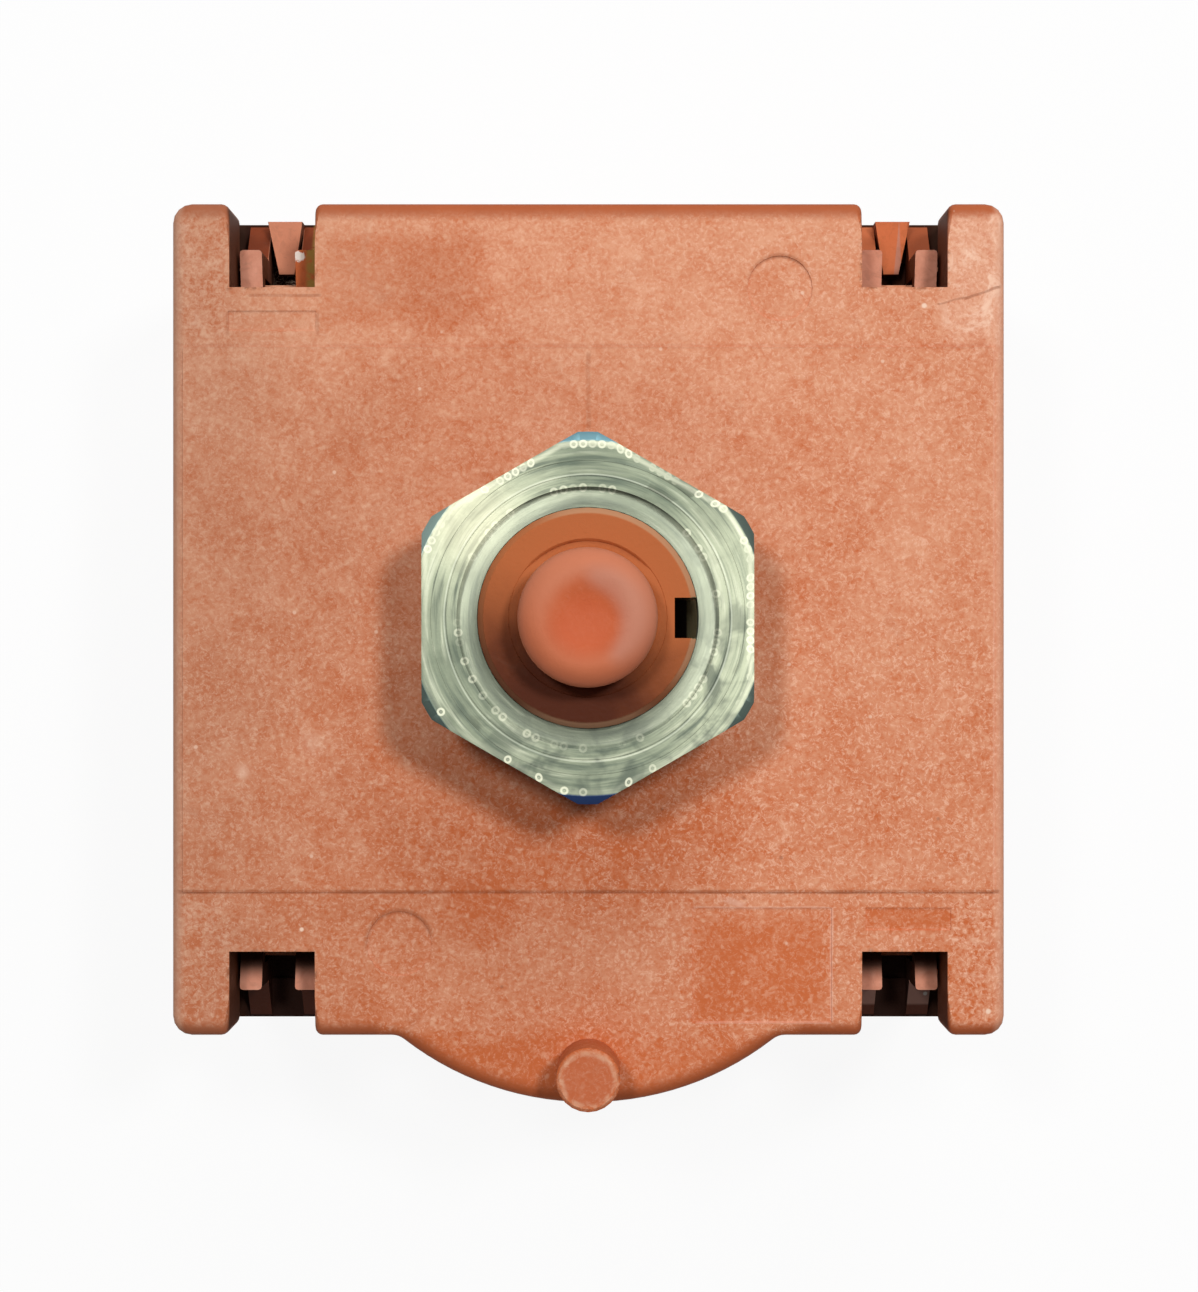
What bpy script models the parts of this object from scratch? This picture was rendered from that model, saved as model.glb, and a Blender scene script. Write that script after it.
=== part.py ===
"""Four-pole rotary cam switch with a threaded bush, a locating peg and snap-fitted housing.

Units are metres, +Z runs along the spindle to the front, +Y away from the locating peg.
The origin is the centre of the rear face of the base, on the spindle's axis.
"""

from math import atan2, cos, pi, radians, sin, sqrt, tan

import bmesh
import bpy
from mathutils import Matrix, Vector

MM = 0.001

# Housing
BODY_SIDE = 37.0 * MM
BODY_CORNER = 0.85 * MM
BASE_HEIGHT = 12.0 * MM
COVER_SKIRT = 9.0 * MM
TOP_THICKNESS = 2.2 * MM
WALL = 1.8 * MM
FLOOR = 2.0 * MM
FRONT_EDGE_RADIUS = 0.6 * MM
REAR_EDGE_RADIUS = 0.4 * MM

# Moulded relief of the front: a raised field, ejector marks and sunk blank patches
FIELD_INSET = 0.5 * MM
FIELD_HEIGHT = 24.2 * MM
FIELD_RISE = 0.06 * MM
MARK_DIAMETER = 2.9 * MM
MARK_DEPTH = 0.08 * MM
UPPER_MARK = (10.0 * MM, 3.8 * MM)
LOWER_MARK = (10.1 * MM, 4.1 * MM)
PATCH_DEPTH = 0.07 * MM
LABEL_PATCH = (7.7 * MM, 13.9 * MM, 0.6 * MM, 5.7 * MM)
DATE_PATCH = (2.4 * MM, 6.2 * MM, 4.7 * MM, 5.7 * MM)
CODE_PATCH = (2.5 * MM, 6.4 * MM, 4.8 * MM, 5.7 * MM)
REAR_MARK_PLACE = 9.0 * MM

# Lobe and locating peg
LOBE_RADIUS = 13.4 * MM
LOBE_OVERHANG = 3.0 * MM
LOBE_THICKNESS = 3.0 * MM
LOBE_FILLET = 0.9 * MM
PEG_DIAMETER = 2.8 * MM
PEG_HEIGHT = 4.0 * MM
PEG_FROM_TIP = 1.5 * MM
PEG_CHAMFER = 0.15 * MM

# Threaded bush and nut
BUSH_CORE_DIAMETER = 9.3 * MM
BUSH_HEIGHT = 9.0 * MM
BUSH_CHAMFER = 0.25 * MM
BORE_DIAMETER = 6.0 * MM
BORE_MOUTH_DIAMETER = 6.5 * MM
BORE_MOUTH_DEPTH = 0.35 * MM
BORE_CHAMFER = 0.1 * MM
KEY_SLOT_WIDTH = 1.7 * MM
KEY_SLOT_DEPTH = 1.0 * MM
NUT_ACROSS_FLATS = 14.0 * MM
NUT_THICKNESS = 2.8 * MM
NUT_BELOW_BUSH_END = 0.2 * MM
NUT_ACROSS_CORNERS = 15.7 * MM
NUT_FACE_DIAMETER = 14.8 * MM
NUT_CHAMFER_ANGLE = radians(30.0)
THREAD_GAP = 0.15 * MM

# Notches in the cover and the base's two-pronged hooks
NOTCH_FROM_SIDE = 4.45 * MM
NOTCH_WIDTH = 3.8 * MM
NOTCH_LENGTH = 3.75 * MM
CHANNEL_WALL = 1.2 * MM
EAR_THICKNESS = 5.0 * MM
EAR_UNDERCUT = 0.6 * MM
LEDGE_REACH = 0.6 * MM
LEDGE_DROP = 5.5 * MM
LEDGE_HEIGHT = 1.9 * MM
PRONG_WIDTH = 1.0 * MM
PRONG_SIDE_GAP = 0.15 * MM
PRONG_DEPTH = 1.1 * MM
PRONG_CORNER = 0.15 * MM
PRONG_DROP = 3.4 * MM
BARB_SLOPE = radians(22.0)
HOOK_GAP = 0.3 * MM
HOOK_ROOT = 3.6 * MM
HOOK_SETBACK = 0.05 * MM
BUTTRESS_HEIGHT = 2.0 * MM
TONGUE_WIDTH = 1.6 * MM
TONGUE_TIP_WIDTH = 0.7 * MM
TONGUE_REACH = 2.35 * MM
TONGUE_HEIGHT = 1.8 * MM

# Spindle
SPINDLE_DIAMETER = 5.8 * MM
SPINDLE_REACH = 13.0 * MM
SPINDLE_TIP_RADIUS = 1.0 * MM
DIMPLE_DIAMETER = 3.4 * MM
DIMPLE_DEPTH = 0.25 * MM
COLLAR_DIAMETER = 8.4 * MM
COLLAR_LIFT = 0.7 * MM
SQUARE_SIDE = 4.2 * MM
PIVOT_DIAMETER = 3.4 * MM
PIVOT_CLEARANCE = 0.3 * MM
BEARING_WALL = 1.2 * MM
BEARING_FLOOR = 1.2 * MM
BEARING_TOP = 3.7 * MM

# Motion: off at rest, on after one throw clockwise seen from the front
THROW = radians(60.0)
STROKE = 1.6 * MM
POLES = 4

# Cam
CAM_RADIUS = 6.4 * MM
CAM_BOTTOM = 4.2 * MM
CAM_TOP_GAP = 0.6 * MM
CAM_REST_MARGIN = radians(8.0)
CAM_STEP = radians(4.0)
DRIVE_GAP = 0.25 * MM
FOLLOWER_GAP = 0.3 * MM

# Plungers, bridges and their springs; a pole is drawn on the +X side and turned to its place
PLUNGER_WIDTH = 4.4 * MM
PLUNGER_LENGTH = 5.3 * MM
PLUNGER_BOTTOM = 2.3 * MM
NOSE_WIDTH = 2.0 * MM
NOSE_LENGTH = 1.4 * MM
CONTACT_DROP = 3.05 * MM
SLIDE_GAP = 0.3 * MM
BRIDGE_THICKNESS = 0.8 * MM
BRIDGE_HEIGHT = 2.5 * MM
BRIDGE_SPAN = 12.8 * MM
BRIDGE_OFFSET = 3.9 * MM
CONTACT_SPREAD = 5.0 * MM
CONTACT_GAP = 1.8 * MM
RIVET_HEAD_DIAMETER = 2.2 * MM
RIVET_HEAD_HEIGHT = 0.4 * MM
RIVET_SHANK_DIAMETER = 1.1 * MM
RIVET_TAIL = 0.15 * MM
RIVET_GAP = 0.08 * MM
RIVET_SEAT = 0.03 * MM
SPIGOT_DIAMETER = 1.9 * MM
SPIGOT_LENGTH = 0.7 * MM
SPRING_DIAMETER = 3.0 * MM
SPRING_WIRE = 0.45 * MM
SPRING_PITCH = 1.0 * MM
SPRING_SEAT = 0.1 * MM
GUIDE_THICKNESS = 0.8 * MM
GUIDE_LENGTH = 3.4 * MM

# Terminals
STRIP_THICKNESS = 0.8 * MM
STRIP_WIDTH = 2.6 * MM
STRIP_TOP_GAP = 1.3 * MM
STRIP_SEAT = 0.1 * MM
TAB_WIDTH = 6.3 * MM
TAB_LENGTH = 8.0 * MM
TAB_PLACE = 13.5 * MM
TAB_CHAMFER = 0.9 * MM
TAB_HOLE_DIAMETER = 1.7 * MM
TAB_HOLE_FROM_TIP = 3.6 * MM
TAB_SLOT_GAP = 0.2 * MM

# Partition plate
PARTITION_DROP = 2.2 * MM
PARTITION_THICKNESS = 1.5 * MM
PARTITION_HOLE_DIAMETER = 9.0 * MM
PARTITION_FIT = 0.15 * MM
TONGUE_THICKNESS = 1.0 * MM
TONGUE_LENGTH = 16.0 * MM
TONGUE_RISE = 1.8 * MM
LEDGE_SEAT = 0.1 * MM
LEDGE_DEPTH = 1.4 * MM
LEDGE_LENGTH = 14.0 * MM
RIB_PLACE = 9.4 * MM

# Index wheel, its stop and the detent springs
WHEEL_RADIUS = 8.0 * MM
WHEEL_HEIGHT = 3.8 * MM
WHEEL_GAP = 0.3 * MM
WHEEL_NOTCHES = 6
NOTCH_DEPTH = 1.2 * MM
NOTCH_HALF_ANGLE = radians(14.0)
LUG_REACH = 10.2 * MM
LUG_HEIGHT = 1.3 * MM
LUG_HALF_ANGLE = radians(6.0)
LUG_REST_ANGLE = radians(45.0)
STOP_HALF_ANGLE = radians(5.0)
STOP_GAP_ANGLE = radians(1.0)
STOP_INNER = 8.5 * MM
STOP_OUTER = 10.4 * MM
DETENT_STRIP = 0.5 * MM
DETENT_HEIGHT = 2.2 * MM
DETENT_LIFT = 1.9 * MM
DETENT_LINE = 8.7 * MM
DETENT_FROM_WALL = 5.1 * MM
NOSE_HALF_WIDTH = 1.5 * MM
POST_WIDTH = 2.4 * MM
POST_DEPTH = 2.6 * MM
POST_SLOT_GAP = 0.25 * MM

# Facets
ROUND_SEGMENTS = 48
NUT_SEGMENTS = 72
PIVOT_SEGMENTS = 32
MARK_SEGMENTS = 24
SMALL_SEGMENTS = 16
LOBE_STEPS = 28
NOSE_STEPS = 8
PRONG_STEPS = 2
CORNER_STEPS = 4
SPRING_POINTS = 12
NOTCH_SEGMENTS = 17

# How far a cutter runs past the face that it opens
CUT_PAST = 2.0 * MM

# Worked out from the sizes above
HALF = BODY_SIDE / 2
FACE_Z = BASE_HEIGHT + COVER_SKIRT
BAND_Z = FACE_Z - FIELD_RISE
CEILING_Z = FACE_Z - TOP_THICKNESS
INNER_HALF = HALF - WALL
BUSH_TOP = FACE_Z + BUSH_HEIGHT
NUT_TOP = BUSH_TOP - NUT_BELOW_BUSH_END
NUT_BOTTOM = NUT_TOP - NUT_THICKNESS
LOBE_CENTRE_Y = LOBE_RADIUS - HALF - LOBE_OVERHANG
PEG_CENTRE_Y = PEG_FROM_TIP - HALF - LOBE_OVERHANG
NOTCH_CENTRE_X = HALF - NOTCH_FROM_SIDE
NOTCH_FLOOR_Y = HALF - NOTCH_LENGTH
PARTITION_BOTTOM = BASE_HEIGHT - PARTITION_DROP
PARTITION_TOP = PARTITION_BOTTOM + PARTITION_THICKNESS
CAM_LOW_RADIUS = CAM_RADIUS - STROKE
CAM_TOP = PARTITION_BOTTOM - CAM_TOP_GAP
PARTITION_MIDDLE = (PARTITION_BOTTOM + PARTITION_TOP) / 2
WHEEL_BOTTOM = PARTITION_TOP + WHEEL_GAP
WHEEL_TOP = WHEEL_BOTTOM + WHEEL_HEIGHT
DETENT_BOTTOM = PARTITION_TOP + DETENT_LIFT
DETENT_HALF_SPAN = INNER_HALF - DETENT_FROM_WALL
COLLAR_TOP = CEILING_Z - WHEEL_GAP
COLLAR_BOTTOM = WHEEL_TOP + COLLAR_LIFT
COLLAR_MIDDLE = (COLLAR_BOTTOM + COLLAR_TOP) / 2
NOSE_TIP = CAM_RADIUS + FOLLOWER_GAP
PLUNGER_BACK = NOSE_TIP + PLUNGER_LENGTH
PLUNGER_TOP = PARTITION_BOTTOM - SLIDE_GAP
CONTACT_LEVEL = PARTITION_BOTTOM - CONTACT_DROP
BRIDGE_INNER = NOSE_TIP + BRIDGE_OFFSET
BRIDGE_OUTER = BRIDGE_INNER + BRIDGE_THICKNESS
MOVING_FACE = BRIDGE_INNER - RIVET_SEAT - RIVET_HEAD_HEIGHT
FIXED_FACE = MOVING_FACE - CONTACT_GAP
STRIP_OUTER = FIXED_FACE - RIVET_HEAD_HEIGHT - RIVET_SEAT
STRIP_INNER = STRIP_OUTER - STRIP_THICKNESS
STRIP_BOTTOM = FLOOR + STRIP_SEAT
STRIP_TOP = PARTITION_BOTTOM - STRIP_TOP_GAP
TAB_INNER = TAB_PLACE - STRIP_THICKNESS / 2
TAB_OUTER = TAB_PLACE + STRIP_THICKNESS / 2
GUIDE_INNER_Y = PLUNGER_WIDTH / 2 + SLIDE_GAP
GUIDE_START = STRIP_OUTER + SLIDE_GAP
GUIDE_TOP = CONTACT_LEVEL - BRIDGE_HEIGHT / 2 - SLIDE_GAP
PRONG_TOP = FACE_Z - PRONG_DROP
LEDGE_TOP = FACE_Z - LEDGE_DROP
LEDGE_BOTTOM = LEDGE_TOP - LEDGE_HEIGHT
PRONG_LEG_INNER = NOTCH_FLOOR_Y + LEDGE_REACH + HOOK_GAP
PRONG_OUTER = PRONG_LEG_INNER + PRONG_DEPTH
PRONG_SPREAD = NOTCH_WIDTH - PRONG_WIDTH - 2 * PRONG_SIDE_GAP
BARB_INNER = NOTCH_FLOOR_Y + HOOK_GAP
BARB_BOTTOM = LEDGE_TOP + HOOK_GAP


def clear_scene():
    for item in list(bpy.data.objects):
        bpy.data.objects.remove(item, do_unlink=True)


def finish_of(name, colour, roughness, metallic=0.0):
    """Principled material with one colour, roughness and metallic value."""
    material = bpy.data.materials.new(name)
    material.use_nodes = True
    shader = material.node_tree.nodes["Principled BSDF"]
    shader.inputs["Base Color"].default_value = (*colour, 1.0)
    shader.inputs["Roughness"].default_value = roughness
    shader.inputs["Metallic"].default_value = metallic
    return material


def object_from(name, work):
    """Closes a bmesh into a named object with its faces outward."""
    bmesh.ops.recalc_face_normals(work, faces=work.faces)
    mesh = bpy.data.meshes.new(name)
    work.to_mesh(mesh)
    work.free()
    item = bpy.data.objects.new(name, mesh)
    bpy.context.collection.objects.link(item)
    return item


def add_prism(work, outline, bottom, top):
    """Extrudes a flat outline of (x, y) points along Z."""
    verts = [work.verts.new((x, y, bottom)) for x, y in outline]
    base = work.faces.new(verts)
    lifted = bmesh.ops.extrude_face_region(work, geom=[base])["geom"]
    moved = [part for part in lifted if isinstance(part, bmesh.types.BMVert)]
    bmesh.ops.translate(work, verts=moved, vec=(0.0, 0.0, top - bottom))
    return verts + moved


def prism(name, outline, bottom, top):
    work = bmesh.new()
    add_prism(work, outline, bottom, top)
    return object_from(name, work)


def rectangle(x0, x1, y0, y1):
    return [(x0, y0), (x1, y0), (x1, y1), (x0, y1)]


def add_box(work, x0, x1, y0, y1, z0, z1):
    return add_prism(work, rectangle(x0, x1, y0, y1), z0, z1)


def boxes(name, sizes):
    """One object of separate boxes, each (x0, x1, y0, y1, z0, z1)."""
    work = bmesh.new()
    for size in sizes:
        add_box(work, *size)
    return object_from(name, work)


def turned(name, profile, segments=ROUND_SEGMENTS):
    """Spins a profile of (radius, z) points, from axis to axis or closed on itself, about Z."""
    work = bmesh.new()
    verts = [work.verts.new((radius, 0.0, z)) for radius, z in profile]
    edges = [work.edges.new(pair) for pair in zip(verts, verts[1:])]
    if profile[0][0] > 0.0:
        edges.append(work.edges.new((verts[-1], verts[0])))
    bmesh.ops.spin(
        work, geom=verts + edges, cent=(0.0, 0.0, 0.0), axis=(0.0, 0.0, 1.0),
        angle=2 * pi, steps=segments, use_merge=True,
    )
    bmesh.ops.remove_doubles(work, verts=work.verts, dist=0.001 * MM)
    return object_from(name, work)


def arc_points(centre, radius, start, end, steps):
    """Points along an arc from one angle to another, both ends included."""
    angles = [start + (end - start) * step / steps for step in range(steps + 1)]
    return [(centre[0] + radius * cos(a), centre[1] + radius * sin(a)) for a in angles]


def rounded_square(half, corner):
    inset = half - corner
    centres = [(inset, inset), (-inset, inset), (-inset, -inset), (inset, -inset)]
    outline = []
    for quarter, centre in enumerate(centres):
        start = quarter * pi / 2
        outline += arc_points(centre, corner, start, start + pi / 2, CORNER_STEPS)
    return outline


def strip_outline(line, thickness):
    """Outline of a bent strip: a line of (x, y) points, with half the thickness on each side."""
    left = []
    right = []
    for place, point in enumerate(line):
        before = Vector(line[max(place - 1, 0)])
        after = Vector(line[min(place + 1, len(line) - 1)])
        here = Vector(point)
        runs = [run.normalized() for run in (here - before, after - here) if run.length > 0.0]
        middle = sum(runs, Vector((0.0, 0.0))).normalized()
        side = Vector((-middle.y, middle.x))
        reach = thickness / 2 / abs(Vector((-runs[0].y, runs[0].x)).dot(side))
        left.append(tuple(here + side * reach))
        right.append(tuple(here - side * reach))
    return left + right[::-1]


def moved(item, matrix):
    """Moves the mesh itself, so that the object's origin stays on the spindle's axis."""
    item.data.transform(matrix)
    if matrix.determinant() < 0.0:
        item.data.flip_normals()
    return item


def combine(target, tool, operation):
    """Applies a boolean of the tool to the target and removes the tool."""
    cut = target.modifiers.new(operation.title(), "BOOLEAN")
    cut.operation = operation
    cut.solver = "EXACT"
    cut.object = tool
    bpy.context.view_layer.update()
    graph = bpy.context.evaluated_depsgraph_get()
    mesh = bpy.data.meshes.new_from_object(target.evaluated_get(graph))
    mesh.name = target.name
    target.modifiers.clear()
    target.data = mesh
    bpy.data.objects.remove(tool, do_unlink=True)


def bevel_loop(item, height, width, segments):
    """Rounds the outer edges that lie flat at one height."""
    work = bmesh.new()
    work.from_mesh(item.data)
    rim = [
        edge for edge in work.edges
        if all(abs(vert.co.z - height) < 0.01 * MM for vert in edge.verts)
        and abs(edge.calc_face_angle(0.0)) > radians(30.0)
    ]
    bmesh.ops.bevel(
        work, geom=rim, offset=width, segments=segments, profile=0.5, affect="EDGES",
        clamp_overlap=True,
    )
    work.to_mesh(item.data)
    work.free()


def finish(item, material, smooth_below=radians(32.0)):
    """Gives a piece its material and shades its round faces smooth."""
    item.data.materials.clear()
    item.data.materials.append(material)
    item.data.shade_smooth()
    item.data.set_sharp_from_angle(angle=smooth_below)


def copy_of(item, name, matrix):
    """A separate copy of a piece, with its own mesh, at another place."""
    other = bpy.data.objects.new(name, item.data.copy())
    other.data.name = name
    bpy.context.collection.objects.link(other)
    return moved(other, matrix)


def about_spindle(angle):
    return Matrix.Rotation(angle, 4, "Z")


def extruded_along_x():
    """Turns a prism drawn in (y, z) and raised along Z so that it runs along X."""
    return Matrix(((0, 0, 1, 0), (1, 0, 0, 0), (0, 1, 0, 0), (0, 0, 0, 1)))


def lobe_outline():
    """The lobe below the body, closed by a root inside it, with fillets where they meet."""
    fillet_y = -HALF - LOBE_FILLET
    spread = sqrt((LOBE_RADIUS + LOBE_FILLET) ** 2 - (fillet_y - LOBE_CENTRE_Y) ** 2)
    lean = atan2(LOBE_CENTRE_Y - fillet_y, spread)
    root_y = -HALF + WALL
    left = arc_points((-spread, fillet_y), LOBE_FILLET, pi / 2, lean, CORNER_STEPS)
    arc = arc_points((0.0, LOBE_CENTRE_Y), LOBE_RADIUS, pi + lean, 2 * pi - lean, LOBE_STEPS)
    right = [(-x, y) for x, y in reversed(left)]
    return [(-spread, root_y)] + left + arc[1:-1] + right + [(spread, root_y)]


def notch_frames():
    """Side signs of the four notches, left and right, above and below."""
    return [(sx, sy) for sy in (1.0, -1.0) for sx in (-1.0, 1.0)]


def placed_box(sx, sy, x0, x1, y0, y1, z0, z1):
    """A box given in the upper right corner, moved to the corner with these signs."""
    xs = sorted((sx * x0, sx * x1))
    ys = sorted((sy * y0, sy * y1))
    return (*xs, *ys, z0, z1)


def make_front_cover(material):
    cover = prism("front_cover", rounded_square(HALF, BODY_CORNER), BASE_HEIGHT, BAND_Z)
    bevel_loop(cover, BAND_Z, FRONT_EDGE_RADIUS, 3)
    lobe = prism("lobe", lobe_outline(), FACE_Z - LOBE_THICKNESS, BAND_Z)
    round_lobe_rim(lobe)
    combine(cover, lobe, "UNION")

    add_relief(cover)

    # Chamber inside, with the walls of the four notch channels left standing
    chamber = prism(
        "chamber", rounded_square(INNER_HALF, BODY_CORNER), BASE_HEIGHT - CUT_PAST, CEILING_Z
    )
    channel_half = NOTCH_WIDTH / 2 + CHANNEL_WALL
    channels = boxes("channels", [
        placed_box(
            sx, sy, NOTCH_CENTRE_X - channel_half, INNER_HALF + WALL / 2,
            NOTCH_FLOOR_Y - CHANNEL_WALL, HALF, BASE_HEIGHT - 2 * CUT_PAST, FACE_Z,
        )
        for sx, sy in notch_frames()
    ])
    combine(chamber, channels, "DIFFERENCE")
    combine(cover, chamber, "DIFFERENCE")

    # Notches, each with the ledge that its hook grips
    notches = boxes("notches", [
        placed_box(
            sx, sy, NOTCH_CENTRE_X - NOTCH_WIDTH / 2, NOTCH_CENTRE_X + NOTCH_WIDTH / 2,
            NOTCH_FLOOR_Y, HALF + CUT_PAST, BASE_HEIGHT - CUT_PAST, FACE_Z + CUT_PAST,
        )
        for sx, sy in notch_frames()
    ])
    ledges = boxes("ledges", [
        placed_box(
            sx, sy, NOTCH_CENTRE_X - NOTCH_WIDTH, NOTCH_CENTRE_X + NOTCH_WIDTH,
            NOTCH_FLOOR_Y - CHANNEL_WALL / 2, NOTCH_FLOOR_Y + LEDGE_REACH,
            LEDGE_BOTTOM, LEDGE_TOP,
        )
        for sx, sy in notch_frames()
    ])
    combine(notches, ledges, "DIFFERENCE")
    combine(cover, notches, "DIFFERENCE")

    # Below the front face the ears give way to the outer part of the notch
    ear_wall_x = NOTCH_CENTRE_X + NOTCH_WIDTH / 2
    undercuts = boxes("undercuts", [
        placed_box(
            sx, sy, ear_wall_x - CUT_PAST, ear_wall_x + EAR_UNDERCUT,
            NOTCH_FLOOR_Y + 2 * LEDGE_REACH, HALF + CUT_PAST,
            BASE_HEIGHT - CUT_PAST, FACE_Z - EAR_THICKNESS,
        )
        for sx, sy in notch_frames()
    ])
    combine(cover, undercuts, "DIFFERENCE")

    # Ribs that hold the partition plate down, with feet that reach inside the base
    rib_inner = INNER_HALF - LEDGE_DEPTH - TONGUE_THICKNESS
    for outer, bottom, top in (
        (INNER_HALF + WALL / 2, BASE_HEIGHT, CEILING_Z + WALL / 2),
        (INNER_HALF - SLIDE_GAP, PARTITION_TOP + LEDGE_SEAT, CEILING_Z),
    ):
        ribs = boxes("ribs", [
            (*sorted((side * rib_inner, side * outer)), y - WALL / 2, y + WALL / 2, bottom, top)
            for side in (-1.0, 1.0)
            for y in (-RIB_PLACE, RIB_PLACE)
        ])
        combine(cover, ribs, "UNION")

    # Threaded bush at its core diameter, the spindle's bore and the key slot
    core = BUSH_CORE_DIAMETER / 2
    bush = turned("bush", [
        (0.0, FACE_Z - TOP_THICKNESS / 2), (core, FACE_Z - TOP_THICKNESS / 2),
        (core, BUSH_TOP - BUSH_CHAMFER), (core - BUSH_CHAMFER, BUSH_TOP), (0.0, BUSH_TOP),
    ])
    combine(cover, bush, "UNION")
    bore = BORE_DIAMETER / 2
    mouth = BORE_MOUTH_DIAMETER / 2
    hole = turned("bore", [
        (0.0, CEILING_Z - CUT_PAST), (bore, CEILING_Z - CUT_PAST),
        (bore, BUSH_TOP - BORE_MOUTH_DEPTH), (mouth, BUSH_TOP - BORE_MOUTH_DEPTH),
        (mouth, BUSH_TOP - BORE_CHAMFER), (mouth + BORE_CHAMFER, BUSH_TOP),
        (mouth + BORE_CHAMFER, BUSH_TOP + CUT_PAST), (0.0, BUSH_TOP + CUT_PAST),
    ])
    combine(cover, hole, "DIFFERENCE")
    key_slot = boxes("key_slot", [(
        core - KEY_SLOT_DEPTH, core + CUT_PAST, -KEY_SLOT_WIDTH / 2, KEY_SLOT_WIDTH / 2,
        FACE_Z, BUSH_TOP + CUT_PAST,
    )])
    combine(cover, key_slot, "DIFFERENCE")

    radius = PEG_DIAMETER / 2
    peg_top = FACE_Z + PEG_HEIGHT
    peg = turned("peg", [
        (0.0, FACE_Z - LOBE_THICKNESS / 2), (radius, FACE_Z - LOBE_THICKNESS / 2),
        (radius, peg_top - PEG_CHAMFER), (radius - PEG_CHAMFER, peg_top), (0.0, peg_top),
    ], MARK_SEGMENTS)
    moved(peg, Matrix.Translation((0.0, PEG_CENTRE_Y, 0.0)))
    combine(cover, peg, "UNION")
    finish(cover, material)
    return cover


def add_relief(cover):
    """Raised field across the middle of the front, with marks and blank patches round it."""
    half_width = HALF - FIELD_INSET
    field = boxes("field", [(
        -half_width, half_width, -FIELD_HEIGHT / 2, FIELD_HEIGHT / 2,
        FACE_Z - TOP_THICKNESS / 2, FACE_Z,
    )])
    combine(cover, field, "UNION")
    patches = boxes("patches", [
        placed_box(
            sx, sy, HALF - far_x, HALF - near_x, HALF - far_y, HALF - near_y,
            BAND_Z - PATCH_DEPTH, FACE_Z + CUT_PAST,
        )
        for sx, sy, (near_x, far_x, near_y, far_y) in (
            (1.0, -1.0, LABEL_PATCH), (1.0, -1.0, DATE_PATCH), (-1.0, 1.0, CODE_PATCH),
        )
    ])
    combine(cover, patches, "DIFFERENCE")
    for side, (from_x, from_y) in ((1.0, UPPER_MARK), (-1.0, LOWER_MARK)):
        centre = (side * (HALF - from_x), side * (HALF - from_y))
        mark = ejector_mark(centre, BAND_Z - MARK_DEPTH, FACE_Z + CUT_PAST)
        combine(cover, mark, "DIFFERENCE")


def ejector_mark(centre, bottom, top):
    """Cutter for the shallow round print of an ejector pin."""
    circle = arc_points(centre, MARK_DIAMETER / 2, 0.0, 2 * pi, MARK_SEGMENTS)
    return prism("mark", circle[:-1], bottom, top)


def round_lobe_rim(lobe):
    """Rounds the front rim of the lobe where it stands clear of the body."""
    work = bmesh.new()
    work.from_mesh(lobe.data)
    clear = -HALF + FRONT_EDGE_RADIUS
    rim = [
        edge for edge in work.edges
        if all(abs(vert.co.z - BAND_Z) < 0.01 * MM and vert.co.y < clear for vert in edge.verts)
    ]
    bmesh.ops.bevel(
        work, geom=rim, offset=FRONT_EDGE_RADIUS, segments=3, profile=0.5, affect="EDGES",
        clamp_overlap=True,
    )
    work.to_mesh(lobe.data)
    work.free()


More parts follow.
